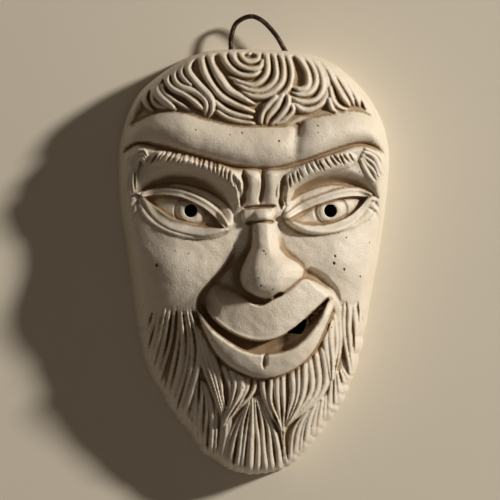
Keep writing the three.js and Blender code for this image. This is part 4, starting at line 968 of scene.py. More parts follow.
@dataclass
class Carving:
    """The carved surface over the back plane, from the width and height of a square in millimetres."""

    square: Pair
    rows: Pair = (-4.0, 432.0)
    ring_points: int = 760
    seed: int = 11
    side_draft: float = 1.2
    temple_draft: float = 1.3
    edge_round: float = 9.0
    crease_drop: float = 6.0
    ground_power: float = 2.6
    least_half: float = 20.0
    beard_groove: float = 3.4
    temple_groove: float = 2.0
    furrow_shape: float = 1.7
    lock_cut: LockCut = LockCut()
    hair_cut: HairCut = HairCut()
    scallops: Scallops = Scallops()
    under_lip: UnderLip = UnderLip()
    skin: Skin = Skin()
    brow_cut: BrowCut = BrowCut()
    fold: Fold = Fold()
    nose_cut: NoseCut = NoseCut()
    slab_cut: SlabCut = SlabCut()
    slot_cut: SlotCut = SlotCut()
    lip_cut: LipCut = LipCut()
    eye_cut: EyeCut = EyeCut()
    band_cut: BandCut = BandCut()
    collar: Collar = Collar()
    crumbs: Crumbs = Crumbs()

    def __post_init__(self) -> None:
        """Draw the lines that the carving follows."""
        outline = Line(OUTLINE, closed=True)
        self.rim = outline.at(np.arange(self.ring_points) / self.ring_points)
        self.row_keys = np.arange(*self.rows, 1.0)
        self.row_ends = np.array([self.row_at(key) for key in self.row_keys])
        way = np.roll(self.rim, -1, axis=0) - np.roll(self.rim, 1, axis=0)
        self.out = np.stack([way[:, 1], -way[:, 0]], -1) / np.hypot(*way.T)[:, None]
        self.beard_edge = Line(BEARD_EDGE)
        self.beard = self.lock_strands(BEARD, self.beard_groove)
        self.temples = self.lock_strands(TEMPLE_HAIR, self.temple_groove)
        self.hair = self.hair_strands()
        self.scallop_rim()
        self.crease = self.inset(lambda out: self.side_draft + self.temple_draft * np.abs(out[:, 0]))
        self.crease_line = Line.through(np.vstack([self.crease, self.crease[:1]]))
        self.band_top, self.band_low = Line(BAND_TOP), Line(BAND_LOW)
        self.slab = Strip(Line(SLAB_TOP), Line(MOUTH_TOP))
        self.slot = Strip(Line(MOUTH_TOP), Line(LIP_INNER))
        self.lip = Strip(Line(LIP_INNER), Line(LIP_OUTER))
        keys = np.arange(*self.nose_cut.side_rows)
        left = look_up(NOSE, keys, 1, self.nose_cut.corner)
        self.nose_side = Line.through(np.stack([left, keys], -1))

    def inset(self, distance: Callable[[Field], Field]) -> Field:
        """Move the outline inwards by a distance in millimetres that may follow its direction."""
        return self.rim - self.out * distance(self.out)[:, None] / np.array(self.square)

    def scallop_rim(self) -> None:
        """Draw the outline in where the grooves of the beard run over it."""
        cut = self.scallops
        inner = self.rim - cut.inside * self.out
        height = self.beard_height(inner[:, 0], inner[:, 1], np.full(len(inner), cut.full_growth))
        from_edge, _, side = self.beard_edge.near(inner[:, 0], inner[:, 1])
        drawn = cut.share * np.clip(cut.level - height, 0.0, cut.most) * (side < 0)
        self.rim = self.rim - self.out * (drawn * ramp(from_edge, *cut.reach))[:, None]

    def row_at(self, key: float) -> Pair:
        """Find where a row of the drawing meets the outline on both sides."""
        ends = []
        for p, q in zip(self.rim, np.roll(self.rim, -1, axis=0)):
            if (p[1] > key) != (q[1] > key):
                ends.append(p[0] + (q[0] - p[0]) * (key - p[1]) / (q[1] - p[1]))
        return (min(ends), max(ends)) if ends else (-1.0, 1.0)

    def ground(self, x: Field, y: Field) -> Field:
        """Give the depth of the plain ground that the carving stands on."""
        left, right = (np.interp(y, self.row_keys, self.row_ends[:, side]) for side in (0, 1))
        half = np.maximum((right - left) / 2, self.least_half)
        across = np.abs(x - (left + right) / 2) / half
        side = look_up(SIDE_DEPTH, y)
        bulge = np.clip(1.0 - across**self.ground_power, 0.0, 1.0)
        return side + (look_up(MIDDLE_DEPTH, y) - side) * bulge

    def crease_depth(self, y: Field) -> Field:
        """Give the depth at which the side wall meets the carved face."""
        return look_up(SIDE_DEPTH, y) - self.crease_drop

    def lock_strand(
        self, edges: tuple[Line, Line], part: Pair, level: Pair, groove: float, chance: Chance
    ) -> Strand:
        """Lay one strand of a lock, with a slight wave.

        Args:
            edges: both edges of the lock.
            part: the shares of the way across between which it lies.
            level: the levels of root and tip.
            groove: the depth of the grooves beside it.
            chance: where its irregularities come from.

        Returns:
            The strand.
        """
        cut = self.lock_cut
        crown = cut.crown * (1.0 - (part[0] + part[1] - 1.0) ** 2) + chance.pick(*cut.uneven_crown)
        spans = (cut.sway, cut.turns, cut.phase, cut.start)
        sway, turns, phase, start = (chance.pick(*span) for span in spans)
        shares = np.linspace(0.0, 1.0, cut.places)
        left, right = (edge.at(shares) for edge in edges)
        lock_wide = np.hypot(*(right - left).T)
        wide = lock_wide * (part[1] - part[0])
        wave = sway * np.sin(2 * math.pi * (shares * turns + phase))
        wave *= np.clip(wide / cut.full_sway_width, 0.0, 1.0)
        place = ((part[0] + part[1]) / 2 + wave / np.maximum(lock_wide, cut.least_lock))[:, None]
        halves = np.maximum(cut.half_share * wide, cut.least_half)
        crest = (level[0] + crown, level[1] + crown)
        section = Section(groove, cut.fullness, cut.end_drop, groove)
        return Strand(Line.through(left * (1 - place) + right * place), halves, crest, section, start)

    def lock_strands(self, rows: Sequence[Lock], groove: float) -> list[Strand]:
        """Divide locks into strands of uneven width."""
        chance = Chance(self.seed)
        out = []
        for lock in rows:
            edges = (Line(lock.left), Line(lock.right))
            widths = [chance.pick(*self.lock_cut.widths) for _ in range(lock.strands)]
            cuts = np.cumsum([0.0] + widths)
            cuts /= cuts[-1]
            level = (lock.root, lock.tip)
            out += [self.lock_strand(edges, part, level, groove, chance) for part in zip(cuts, cuts[1:])]
        return out

    def hair_strands(self) -> list[Strand]:
        """Lay the single strands of the hair."""
        cut = self.hair_cut
        out = []
        section = Section(cut.groove, cut.fullness, cut.end_drop, cut.floor)
        chance = Chance(self.seed)
        for half, points in HAIR:
            crest = cut.crest + cut.crest_gain * (half - cut.usual_half) + chance.pick(*cut.uneven_crest)
            uneven = np.array([chance.pick(*cut.uneven_width) for _ in cut.taper])
            halves = cut.widening * half * uneven * cut.taper
            out.append(Strand(Line(points), halves, (crest, crest - cut.tip_drop), section))
        return out

    def beard_height(self, x: Field, y: Field, from_edge: Field) -> Field:
        """Give the beard's height: it rises out of the cheeks, and stands crisply under the lip."""
        cut = self.under_lip
        under_lip = ramp(x, *cut.left) * (1.0 - ramp(x, *cut.right)) * (1.0 - ramp(y, *cut.top))
        return highest(self.beard, x, y, from_edge + cut.growth * under_lip)

    def face(self, x: Field, y: Field, ground: Field, under: Field) -> Field:
        """Shape the skin below the band: brow, sockets, eyeballs, cheeks and knot.

        Args:
            x: squares to the right.
            y: squares up.
            ground: the plain ground's depth.
            under: the distance from the band's low edge.

        Returns:
            The skin's depth.
        """
        skin = self.skin
        fade = np.exp(-(np.maximum(under - skin.swell_flat, 0.0) ** 2) / skin.swell_spread)
        z = ground + skin.swell * ramp(under, 0.0, skin.swell_rise) * fade * ramp(y, *skin.swell_rows)
        for eye in EYES:
            z += cap(x, y, eye.globe) + mound(x, y, eye.cheek) - bowl(x, y, eye.socket)
        for form in KNOT:
            z += mound(x, y, form)
        z = blend(z, z + highest(self.temples, x, y) + skin.temple_lift, skin.temple_blend)
        for column, side, steepness in zip((1, 2), (-1.0, 1.0), skin.steepness):
            beyond = side * (x - look_up(TURN, y, column))
            z -= steepness * (beyond + np.sqrt(beyond * beyond + skin.turn_round))
        return z

    def notched_brows(self, x: Field, y: Field) -> Field:
        """Raise both brows and cut their slanting notches."""
        cut = self.brow_cut
        z = np.zeros(x.shape)
        for brow in BROWS:
            z += cut.height * ridge(x, y, brow.line, cut.half, cut.ends, cut.shape)
            line, chance = Line(brow.line), Chance(self.seed)
            notches = np.zeros(x.shape)
            for k in range(brow.notches):
                share = (k + chance.pick(*cut.place)) / brow.notches
                middle = line.at([mix((cut.margin, 1.0 - cut.margin), share)])[0]
                middle = middle + (0.0, chance.pick(*cut.above))
                lean = math.radians(mix(brow.lean, k / (brow.notches - 1)) + chance.pick(*cut.lean))
                way = cut.reach * np.array([math.cos(lean), math.sin(lean)])
                drawn = (middle - way, middle, middle + way)
                notch = ridge(x, y, drawn, chance.pick(*cut.notch_half), cut.notch_ends)
                notches = np.maximum(notches, notch * chance.pick(*cut.notch_share))
            z -= cut.depth * notches
        return z

    def valley(self, x: Field, y: Field) -> Field:
        """Sink the hollow beside the nose that the left cheek stands over."""
        fold = self.fold
        distance, _, side = Line(CHEEK_FOLD).near(x, y)
        here = (side > 0) & within(x, fold.columns) & within(y, fold.rows)
        sunk = ramp(distance, *fold.wall) * (1 - ramp(distance, *fold.far_side))
        sunk *= (1 - ramp(y, *fold.top_end)) * ramp(y, *fold.low_end)
        return np.where(here, -fold.depth * sunk, 0.0)

    def nose(self, x: Field, y: Field, z: Field, ground: Field) -> Field:
        """Set the bridge, the ball and the wings of the nose on the face."""
        cut = self.nose_cut
        left, crest, right, rise = (look_up(NOSE, y, column, cut.corner) for column in (1, 2, 3, 4))
        to_left = np.clip((crest - x) / (crest - left), 0.0, 1.0)
        to_right = np.clip((x - crest) / (right - crest), 0.0, 1.0)
        bridge = ramp(y, *cut.turning)
        right_side = (1 - to_right ** mix(cut.right_power, bridge)) ** mix(cut.right_round, bridge)
        section = np.where(x < crest, np.sqrt(1 - to_left**cut.left_power), right_side)
        here = within(y, cut.rows) & (x > left) & (x < right)
        risen = ground - cut.sunk - cut.root + (rise + cut.root) * section
        filled = blend(z, risen, mix(cut.corner_fill, ramp(x, *cut.fill_columns)))
        z = np.where(here, filled, z)
        return z - NOSTRIL.depth * ridge(x, y, NOSTRIL.line, NOSTRIL.half, NOSTRIL.ends)

    def upper_lip(self, x: Field, y: Field, z: Field, ground: Field) -> None:
        """Lay the upper lip's slab over the face."""
        cut = self.slab_cut
        spots, top, low, _ = self.slab.across(x, y)
        bow = np.sqrt(dome((x[spots] - cut.middle) / cut.half))
        bead = cut.bead * np.exp(-(((low - cut.bead_at) / cut.bead_half) ** 2))
        swell = cut.base + bow * mix(cut.bow, share_across(top, low)) + bead
        raised = ground[spots] + swell * mix(cut.edge, ramp(np.minimum(top, low), *cut.edge_reach))
        merged = cut.top_reach[1] + cut.left_reach * (1.0 - ramp(x[spots], *cut.left_columns))
        merged += cut.right_reach * ramp(x[spots], *cut.right_columns)
        z[spots] += (raised - z[spots]) * ramp(top, cut.top_reach[0], merged)

    def open_slot(self, x: Field, y: Field, z: Field, ground: Field) -> None:
        """Sink the slot of the mouth, with crumbs left in its right corner."""
        cut, crumbs = self.slot_cut, self.crumbs
        spots, top, low, _ = self.slot.across(x, y)
        rise = mix(cut.rise, ramp(x[spots], *cut.columns))
        z[spots] = ground[spots] - cut.depth + rise * share_across(top, low) ** cut.power
        lumps = np.zeros(len(spots))
        chance = Chance(self.seed)
        for _ in range(crumbs.count):
            at = self.slot.first.at([chance.pick(*crumbs.share)])[0] - (0.0, chance.pick(*crumbs.drop))
            gap = np.hypot(x[spots] - at[0], y[spots] - at[1]) / chance.pick(*crumbs.radius)
            lumps = np.maximum(lumps, chance.pick(*crumbs.size) * np.sqrt(dome(gap)))
        z[spots] += crumbs.height * lumps

    def lower_lip(self, x: Field, y: Field, z: Field, ground: Field) -> None:
        """Raise the lower lip and cut the notch in its middle."""
        cut = self.lip_cut
        spots, inner, outer, along = self.lip.across(x, y)
        ends = mix(cut.ends, ramp(along, *cut.left_end) * (1.0 - ramp(along, *cut.right_end)))
        round_off = (cut.spread * share_across(inner, outer)) ** cut.power
        swell = cut.swell * np.sqrt(np.clip(1.0 - round_off, 0.0, 1.0)) + cut.base
        z[spots] = ground[spots] + cut.level + swell * ends * mix(cut.edge, ramp(inner, *cut.edge_reach))
        z[spots] -= cut.notch * ridge(x[spots], y[spots], LIP_NOTCH, cut.notch_half, cut.notch_ends)

    def eye(self, x: Field, y: Field, z: Field, eye: Eye) -> None:
        """Open one eye between its lids and ring its pupil."""
        cut = self.eye_cut
        top, low = Line(eye.top), Line(eye.low)
        spots, from_top, from_low, _ = Strip(top, low).across(x, y)
        from_pupil = np.hypot(x[spots] - eye.pupil[0], y[spots] - eye.pupil[1])
        drop = cut.low_drop * ramp(from_low, 0.0, cut.low_reach)
        drop += cut.top_drop * (1.0 - ramp(from_top, 0.0, cut.top_reach))
        z[spots] -= drop * ramp(from_top, 0.0, cut.lid_edge)
        for height, radius, half in cut.rings:
            z[spots] += height * dome((from_pupil - radius) / half)
        spots, inside, outside, _ = Strip(top, Line(eye.lid)).across(x, y)
        brim = cut.brim * np.exp(-(((share_across(inside, outside) - cut.brim_at) / cut.brim_half) ** 2))
        z[spots] += ramp(inside + outside, *cut.full) * (cut.lid + brim)
        spots, inside, outside, _ = Strip(low, Line(eye.bag)).across(x, y)
        swell = np.sqrt(np.clip(1.0 - share_across(inside, outside) ** cut.bag_power, 0.0, 1.0))
        z[spots] += cut.bag * ramp(inside + outside, *cut.full) * swell

    def features(self, x: Field, y: Field, ground: Field, under: Field) -> Field:
        """Give the depth of everything below the band.

        Args:
            x: squares to the right.
            y: squares up.
            ground: the plain ground's depth.
            under: the distance from the band's low edge.

        Returns:
            The depth of face, mouth, nose, eyes and beard.
        """
        collar = self.collar
        z = self.face(x, y, ground, under) + self.valley(x, y) + self.notched_brows(x, y)
        for furrow in FURROWS:
            z -= furrow.depth * ridge(x, y, furrow.line, furrow.half, furrow.ends, self.furrow_shape)
        for lay in (self.upper_lip, self.open_slot, self.lower_lip):
            lay(x, y, z, ground)
        z = self.nose(x, y, z, ground)
        z += collar.height * ridge(x, y, COLLAR, collar.half, collar.ends, collar.shape)
        for line in COLLAR_GROOVES:
            z -= collar.groove * ridge(x, y, line, collar.groove_half)
        for eye in EYES:
            self.eye(x, y, z, eye)
        from_edge, _, side = self.beard_edge.near(x, y)
        return np.where(side < 0, z + self.beard_height(x, y, from_edge), z)

    def band(self, x: Field, y: Field, ground: Field, across: Field, inside: Field) -> Field:
        """Give the depth of the rolled band with its dents.

        Args:
            x: squares to the right.
            y: squares up.
            ground: the plain ground's depth.
            across: the share of the way from its top edge to its low edge.
            inside: the distance from the crease.

        Returns:
            The band's depth.
        """
        cut = self.band_cut
        below = np.maximum(across - cut.crest, 0) / (1.0 - cut.crest)
        roll = np.where(across < cut.crest, 1 - (1 - across / cut.crest) ** 2, 1 - cut.low_fall * below**3)
        z = ground + cut.height * roll * mix(cut.rim_share, ramp(inside, *cut.rim_reach)) - self.bent(x)
        for depth, half, line in BAND_DENTS:
            z -= depth * np.exp(-((Line(line).near(x, y)[0] / half) ** 2))
        return z

    def bent(self, x: Field) -> Field:
        """Tell how far band and hair bend back at the left."""
        cut = self.band_cut
        return cut.bend * np.clip(cut.bend_from - x, 0.0, cut.bend_reach) ** 2

    def depth(self, x: Field, y: Field) -> Field:
        """Give the carved depth in steps at places in squares."""
        hair_cut = self.hair_cut
        ground = self.ground(x, y)
        distance, _, _ = self.crease_line.near(x, y)
        inside = np.where(is_inside(x, y, self.crease), distance, 0.0)
        top, _, top_side = self.band_top.near(x, y)
        low, _, low_side = self.band_low.near(x, y)
        z = self.features(x, y, ground, low)

        hair = highest(self.hair, x, y)
        band = self.band(x, y, ground, share_across(top, low), inside)
        over = (hair > -hair_cut.floor) & (top < self.band_cut.tuft_reach)
        band = np.where(over, np.maximum(band, ground + hair + self.band_cut.tuft_lift), band)
        z = np.where((top_side < 0) & (low_side > 0), band, z)

        floor = mix((-hair_cut.band_floor, -hair_cut.floor), ramp(top, *hair_cut.band_reach))
        eased = np.maximum(hair, floor)
        rimmed = hair_cut.rim_level + (eased - hair_cut.rim_level) * ramp(inside, *hair_cut.rim_reach)
        lifted = hair_cut.lift * ramp(top, *hair_cut.lift_reach)
        z = np.where(top_side > 0, ground + rimmed - self.bent(x) + lifted, z)

        z += unevenness(x, y)
        for px, py, radius in AIR_HOLES:
            gap = np.hypot(x - px, y - py)
            z -= HOLE.depth * radius * np.sqrt(dome(gap / (radius * HOLE.slope)))
        edge = np.sqrt(1.0 - (1.0 - np.clip(inside / self.edge_round, 0.0, 1.0)) ** 2)
        low_depth = self.crease_depth(y)
        return low_depth + (z - low_depth) * edge


class Finish(Enum):
    """The finishes of the object and of the stage."""

    PLASTER = "washed_plaster"
    WIRE = "brown_iron_wire"
    FLOOR = "pale_floor"


class Nodes:
    """A small helper that adds and links shader nodes in one tree."""

    def __init__(self, tree: bpy.types.NodeTree) -> None:
        """Keep the tree."""
        self.tree = tree

    def add(self, kind: str, **settings: object) -> bpy.types.Node:
        """Add a node and set its properties and unlinked inputs.

        Args:
            kind: the node's type name.
            settings: properties by name, and inputs by name with spaces as underscores, or links.

        Returns:
            The node.
        """
        node = self.tree.nodes.new(kind)
        for name, value in settings.items():
            if hasattr(node, name) and not isinstance(value, bpy.types.NodeSocket):
                setattr(node, name, value)
                continue
            self.feed(node, name.replace("_", " "), value)
        return node

    def feed(self, node: bpy.types.Node, name: str | int, value: object) -> None:
        """Link a socket to an input, or set the input's value."""
        socket = node.inputs[name]
        if isinstance(value, bpy.types.NodeSocket):
            self.tree.links.new(value, socket)
        else:
            socket.default_value = value

    def math(self, operation: str, *values: object) -> bpy.types.NodeSocket:
        """Add a math node over values or sockets and give its result."""
        node = self.tree.nodes.new("ShaderNodeMath")
        node.operation = operation
        for index, value in enumerate(values):
            self.feed(node, index, value)
        return node.outputs[0]

    def times(self, value: object, share: float) -> bpy.types.NodeSocket:
        """Take a share of a value."""
        return self.math("MULTIPLY", value, share)

    def plus(self, value: object, more: object, share: float) -> bpy.types.NodeSocket:
        """Add a share of another value."""
        return self.math("ADD", value, self.times(more, share))

    def minus(self, value: object, less: object) -> bpy.types.NodeSocket:
        """Take another value away."""
        return self.math("SUBTRACT", value, less)

    def mix(self, share: object, first: object, second: object) -> bpy.types.NodeSocket:
        """Mix two colours by a share and give the result."""
        node = self.tree.nodes.new("ShaderNodeMix")
        node.data_type = "RGBA"
        for index, value in ((0, share), (6, first), (7, second)):
            self.feed(node, index, value)
        return node.outputs[2]

    def noise(self, place: object, scale: object, detail: float, rough: float) -> bpy.types.NodeSocket:
        """Add a noise texture and give its height."""
        node = self.tree.nodes.new("ShaderNodeTexNoise")
        for name, value in (("Vector", place), ("Scale", scale), ("Detail", detail), ("Roughness", rough)):
            self.feed(node, name, value)
        return node.outputs["Fac"]

    def between(self, value: object, low: float, high: float) -> bpy.types.NodeSocket:
        """Stretch a value from low..high to 0..1, clamped."""
        node = self.tree.nodes.new("ShaderNodeMapRange")
        node.interpolation_type = "SMOOTHSTEP"
        for index, part in ((0, value), (1, low), (2, high)):
            self.feed(node, index, part)
        return node.outputs[0]


def mottle_group() -> bpy.types.NodeTree:
    """Build the shader group for uneven colour and a rough skin, shared by all finishes."""
    tree = bpy.data.node_groups.new("mottle_and_grain", "ShaderNodeTree")
    face = tree.interface
    face.new_socket("Place", in_out="INPUT", socket_type="NodeSocketVector")
    layers = (("Patches", "Patch Scale", PATCH_DETAIL), ("Grain", "Grain Scale", GRAIN_DETAIL))
    for layer, scale, _ in layers:
        face.new_socket(scale, in_out="INPUT", socket_type="NodeSocketFloat")
        face.new_socket(layer, in_out="OUTPUT", socket_type="NodeSocketFloat")
    nodes = Nodes(tree)
    given, result = tree.nodes.new("NodeGroupInput"), tree.nodes.new("NodeGroupOutput")
    for layer, scale, detail in layers:
        texture = nodes.noise(given.outputs["Place"], given.outputs[scale], *detail)
        tree.links.new(texture, result.inputs[layer])
    return tree


class Dressing:
    """A new material with its shader, the places on the piece and its own mottling."""

    def __init__(self, finish: Finish, group: bpy.types.NodeTree, patches: float, grain: float) -> None:
        """Start the material.

        Args:
            finish: the finish that it makes.
            group: the shared group for mottling and grain.
            patches: the scale of the patches, per metre.
            grain: the scale of the grain, per metre.
        """
        self.material = bpy.data.materials.new(finish.value)
        self.material.use_nodes = True
        self.nodes = Nodes(self.material.node_tree)
        self.shader = self.material.node_tree.nodes["Principled BSDF"]
        self.place = self.nodes.add("ShaderNodeTexCoord").outputs["Object"]
        mottle = self.nodes.add("ShaderNodeGroup", node_tree=group)
        for name, value in (("Place", self.place), ("Patch Scale", patches), ("Grain Scale", grain)):
            self.nodes.feed(mottle, name, value)
        self.patches, self.grain = mottle.outputs["Patches"], mottle.outputs["Grain"]

    def set(self, **inputs: object) -> None:
        """Set or link inputs of the shader by name, with spaces as underscores."""
        for name, value in inputs.items():
            self.nodes.feed(self.shader, name.replace("_", " "), value)

    def roughen(self, height: object, strength: float, distance: float) -> None:
        """Roughen the skin by a height."""
        bump = self.nodes.add("ShaderNodeBump", Strength=strength, Distance=distance, Height=height)
        self.set(Normal=bump.outputs[0])


@dataclass(frozen=True)
class PlasterFinish:
    """Off-white painted plaster, toned with a thin brown wash that stays in the recesses.

    Scales are per metre. A span holds the values of a texture between which a layer grows.
    """

    bare: Colour = (0.82, 0.745, 0.625, 1.0)
    warm: Colour = (0.70, 0.59, 0.43, 1.0)
    wash: Colour = (0.31, 0.195, 0.09, 1.0)
    # Painted shade: a near-black colour that stands for the shade inside the air holes and the pinholes
    painted_shade: Colour = (0.055, 0.03, 0.018, 1.0)
    roughness: float = 0.4
    shine: float = 0.5
    patch_scale: float = 38.0
    patch_span: Pair = (0.4, 0.7)
    patch_share: float = 0.42
    grain_scale: float = 1400.0
    streak_scale: float = 260.0
    streak_detail: Pair = (3.0, 0.6)
    streak_share: float = 0.5
    streak_height: float = 1.1
    dust_scale: float = 620.0
    dust_detail: Pair = (4.0, 0.7)
    dust_span: Pair = (0.5, 0.75)
    dust_share: float = 0.5
    dust_in_wash: float = 0.4
    dust_height: float = 0.6
    wash_span: Pair = (0.06, 0.85)
    wash_share: float = 0.9
    wash_roughness: float = 0.2
    # Pinholes: Voronoi spots that the bump sinks and that get painted shade, near black, standing for the
    # shade inside them
    speck_scale: float = 210.0
    speck_span: Pair = (0.55, 1.0)
    speck_radius: float = 0.11
    pinhole_shade_share: float = 0.75
    speck_depth: float = 1.5
    bump_strength: float = 0.42
    bump_distance: float = 0.0007

    def material(self, group: bpy.types.NodeTree) -> bpy.types.Material:
        """Build the material.

        Args:
            group: the shared group for mottling and grain.

        Returns:
            The plaster material.
        """
        dressing = Dressing(Finish.PLASTER, group, self.patch_scale, self.grain_scale)
        nodes, place = dressing.nodes, dressing.place
        recess = nodes.add("ShaderNodeAttribute", attribute_name="recess").outputs["Fac"]
        # Share of painted shade at the floors of the air holes
        pit_shade = nodes.add("ShaderNodeAttribute", attribute_name="pit_shade").outputs["Fac"]
        streak = nodes.noise(place, self.streak_scale, *self.streak_detail)
        dust = nodes.noise(place, self.dust_scale, *self.dust_detail)

        amount = nodes.plus(recess, nodes.minus(streak, NOISE_MIDDLE), self.streak_share)
        amount = nodes.plus(amount, nodes.minus(dust, NOISE_MIDDLE), self.dust_in_wash)
        wash = nodes.times(nodes.between(amount, *self.wash_span), self.wash_share)
        thin = nodes.times(nodes.between(dressing.patches, *self.patch_span), self.patch_share)
        skin = nodes.mix(thin, self.bare, self.warm)
        skin = nodes.mix(nodes.times(nodes.between(dust, *self.dust_span), self.dust_share), skin, self.warm)
        colour = nodes.mix(wash, skin, self.wash)

        speck = nodes.add("ShaderNodeTexVoronoi", Vector=place, Scale=self.speck_scale)
        chance = nodes.add("ShaderNodeTexWhiteNoise", Vector=speck.outputs["Position"]).outputs["Value"]
        radius = nodes.times(nodes.between(chance, *self.speck_span), self.speck_radius)
        hole = nodes.math("LESS_THAN", speck.outputs["Distance"], radius)
        # Painted shade: the pinholes are coloured near black
        colour = nodes.mix(nodes.times(hole, self.pinhole_shade_share), colour, self.painted_shade)
        # Painted shade: the floors of the air holes are coloured near black, standing for the shade inside
        # them
        dressing.set(Base_Color=nodes.mix(pit_shade, colour, self.painted_shade))
        dressing.set(Roughness=nodes.plus(self.roughness, wash, self.wash_roughness))
        dressing.set(Specular_IOR_Level=self.shine)

        rise = nodes.plus(dressing.grain, streak, self.streak_height)
        rise = nodes.plus(rise, dust, self.dust_height)
        rise = nodes.minus(rise, nodes.times(hole, self.speck_depth))
        dressing.roughen(rise, self.bump_strength, self.bump_distance)
        return dressing.material


@dataclass(frozen=True)
class WireFinish:
    """Dark brown, slightly glossy iron wire with dull rusty places. Scales are per metre."""

    brown: Colour = (0.032, 0.016, 0.011, 1.0)
    rust: Colour = (0.11, 0.045, 0.022, 1.0)
    patch_scale: float = 420.0
    grain_scale: float = 3000.0
    rust_span: Pair = (0.48, 0.68)
    roughness: float = 0.33
    rust_roughness: float = 0.3
    metallic: float = 0.55
    rust_metallic: float = 0.45
    bump_strength: float = 0.3
    bump_distance: float = 0.0002

    def material(self, group: bpy.types.NodeTree) -> bpy.types.Material:
        """Build the material.

        Args:
            group: the shared group for mottling and grain.

        Returns:
            The wire material.
        """
        dressing = Dressing(Finish.WIRE, group, self.patch_scale, self.grain_scale)
        nodes = dressing.nodes
        rusty = nodes.between(dressing.patches, *self.rust_span)
        dressing.set(
            Base_Color=nodes.mix(rusty, self.brown, self.rust),
            Roughness=nodes.plus(self.roughness, rusty, self.rust_roughness),
            Metallic=nodes.minus(self.metallic, nodes.times(rusty, self.rust_metallic)),
        )
        dressing.roughen(dressing.grain, self.bump_strength, self.bump_distance)
        return dressing.material


@dataclass(frozen=True)
class FloorFinish:
    """Plain pale paper for the stage. Scales are per metre."""

    colour: Colour = (0.80, 0.735, 0.61, 1.0)
    shade: float = 0.93
    patch_scale: float = 6.0
    grain_scale: float = 900.0
    roughness: float = 0.85

    def material(self, group: bpy.types.NodeTree) -> bpy.types.Material:
        """Build the floor's material from the shared group."""
        dressing = Dressing(Finish.FLOOR, group, self.patch_scale, self.grain_scale)
        darker = tuple(self.shade * part for part in self.colour[:3]) + (1.0,)
        dressing.set(Base_Color=dressing.nodes.mix(dressing.patches, self.colour, darker))
        dressing.set(Roughness=self.roughness)
        return dressing.material


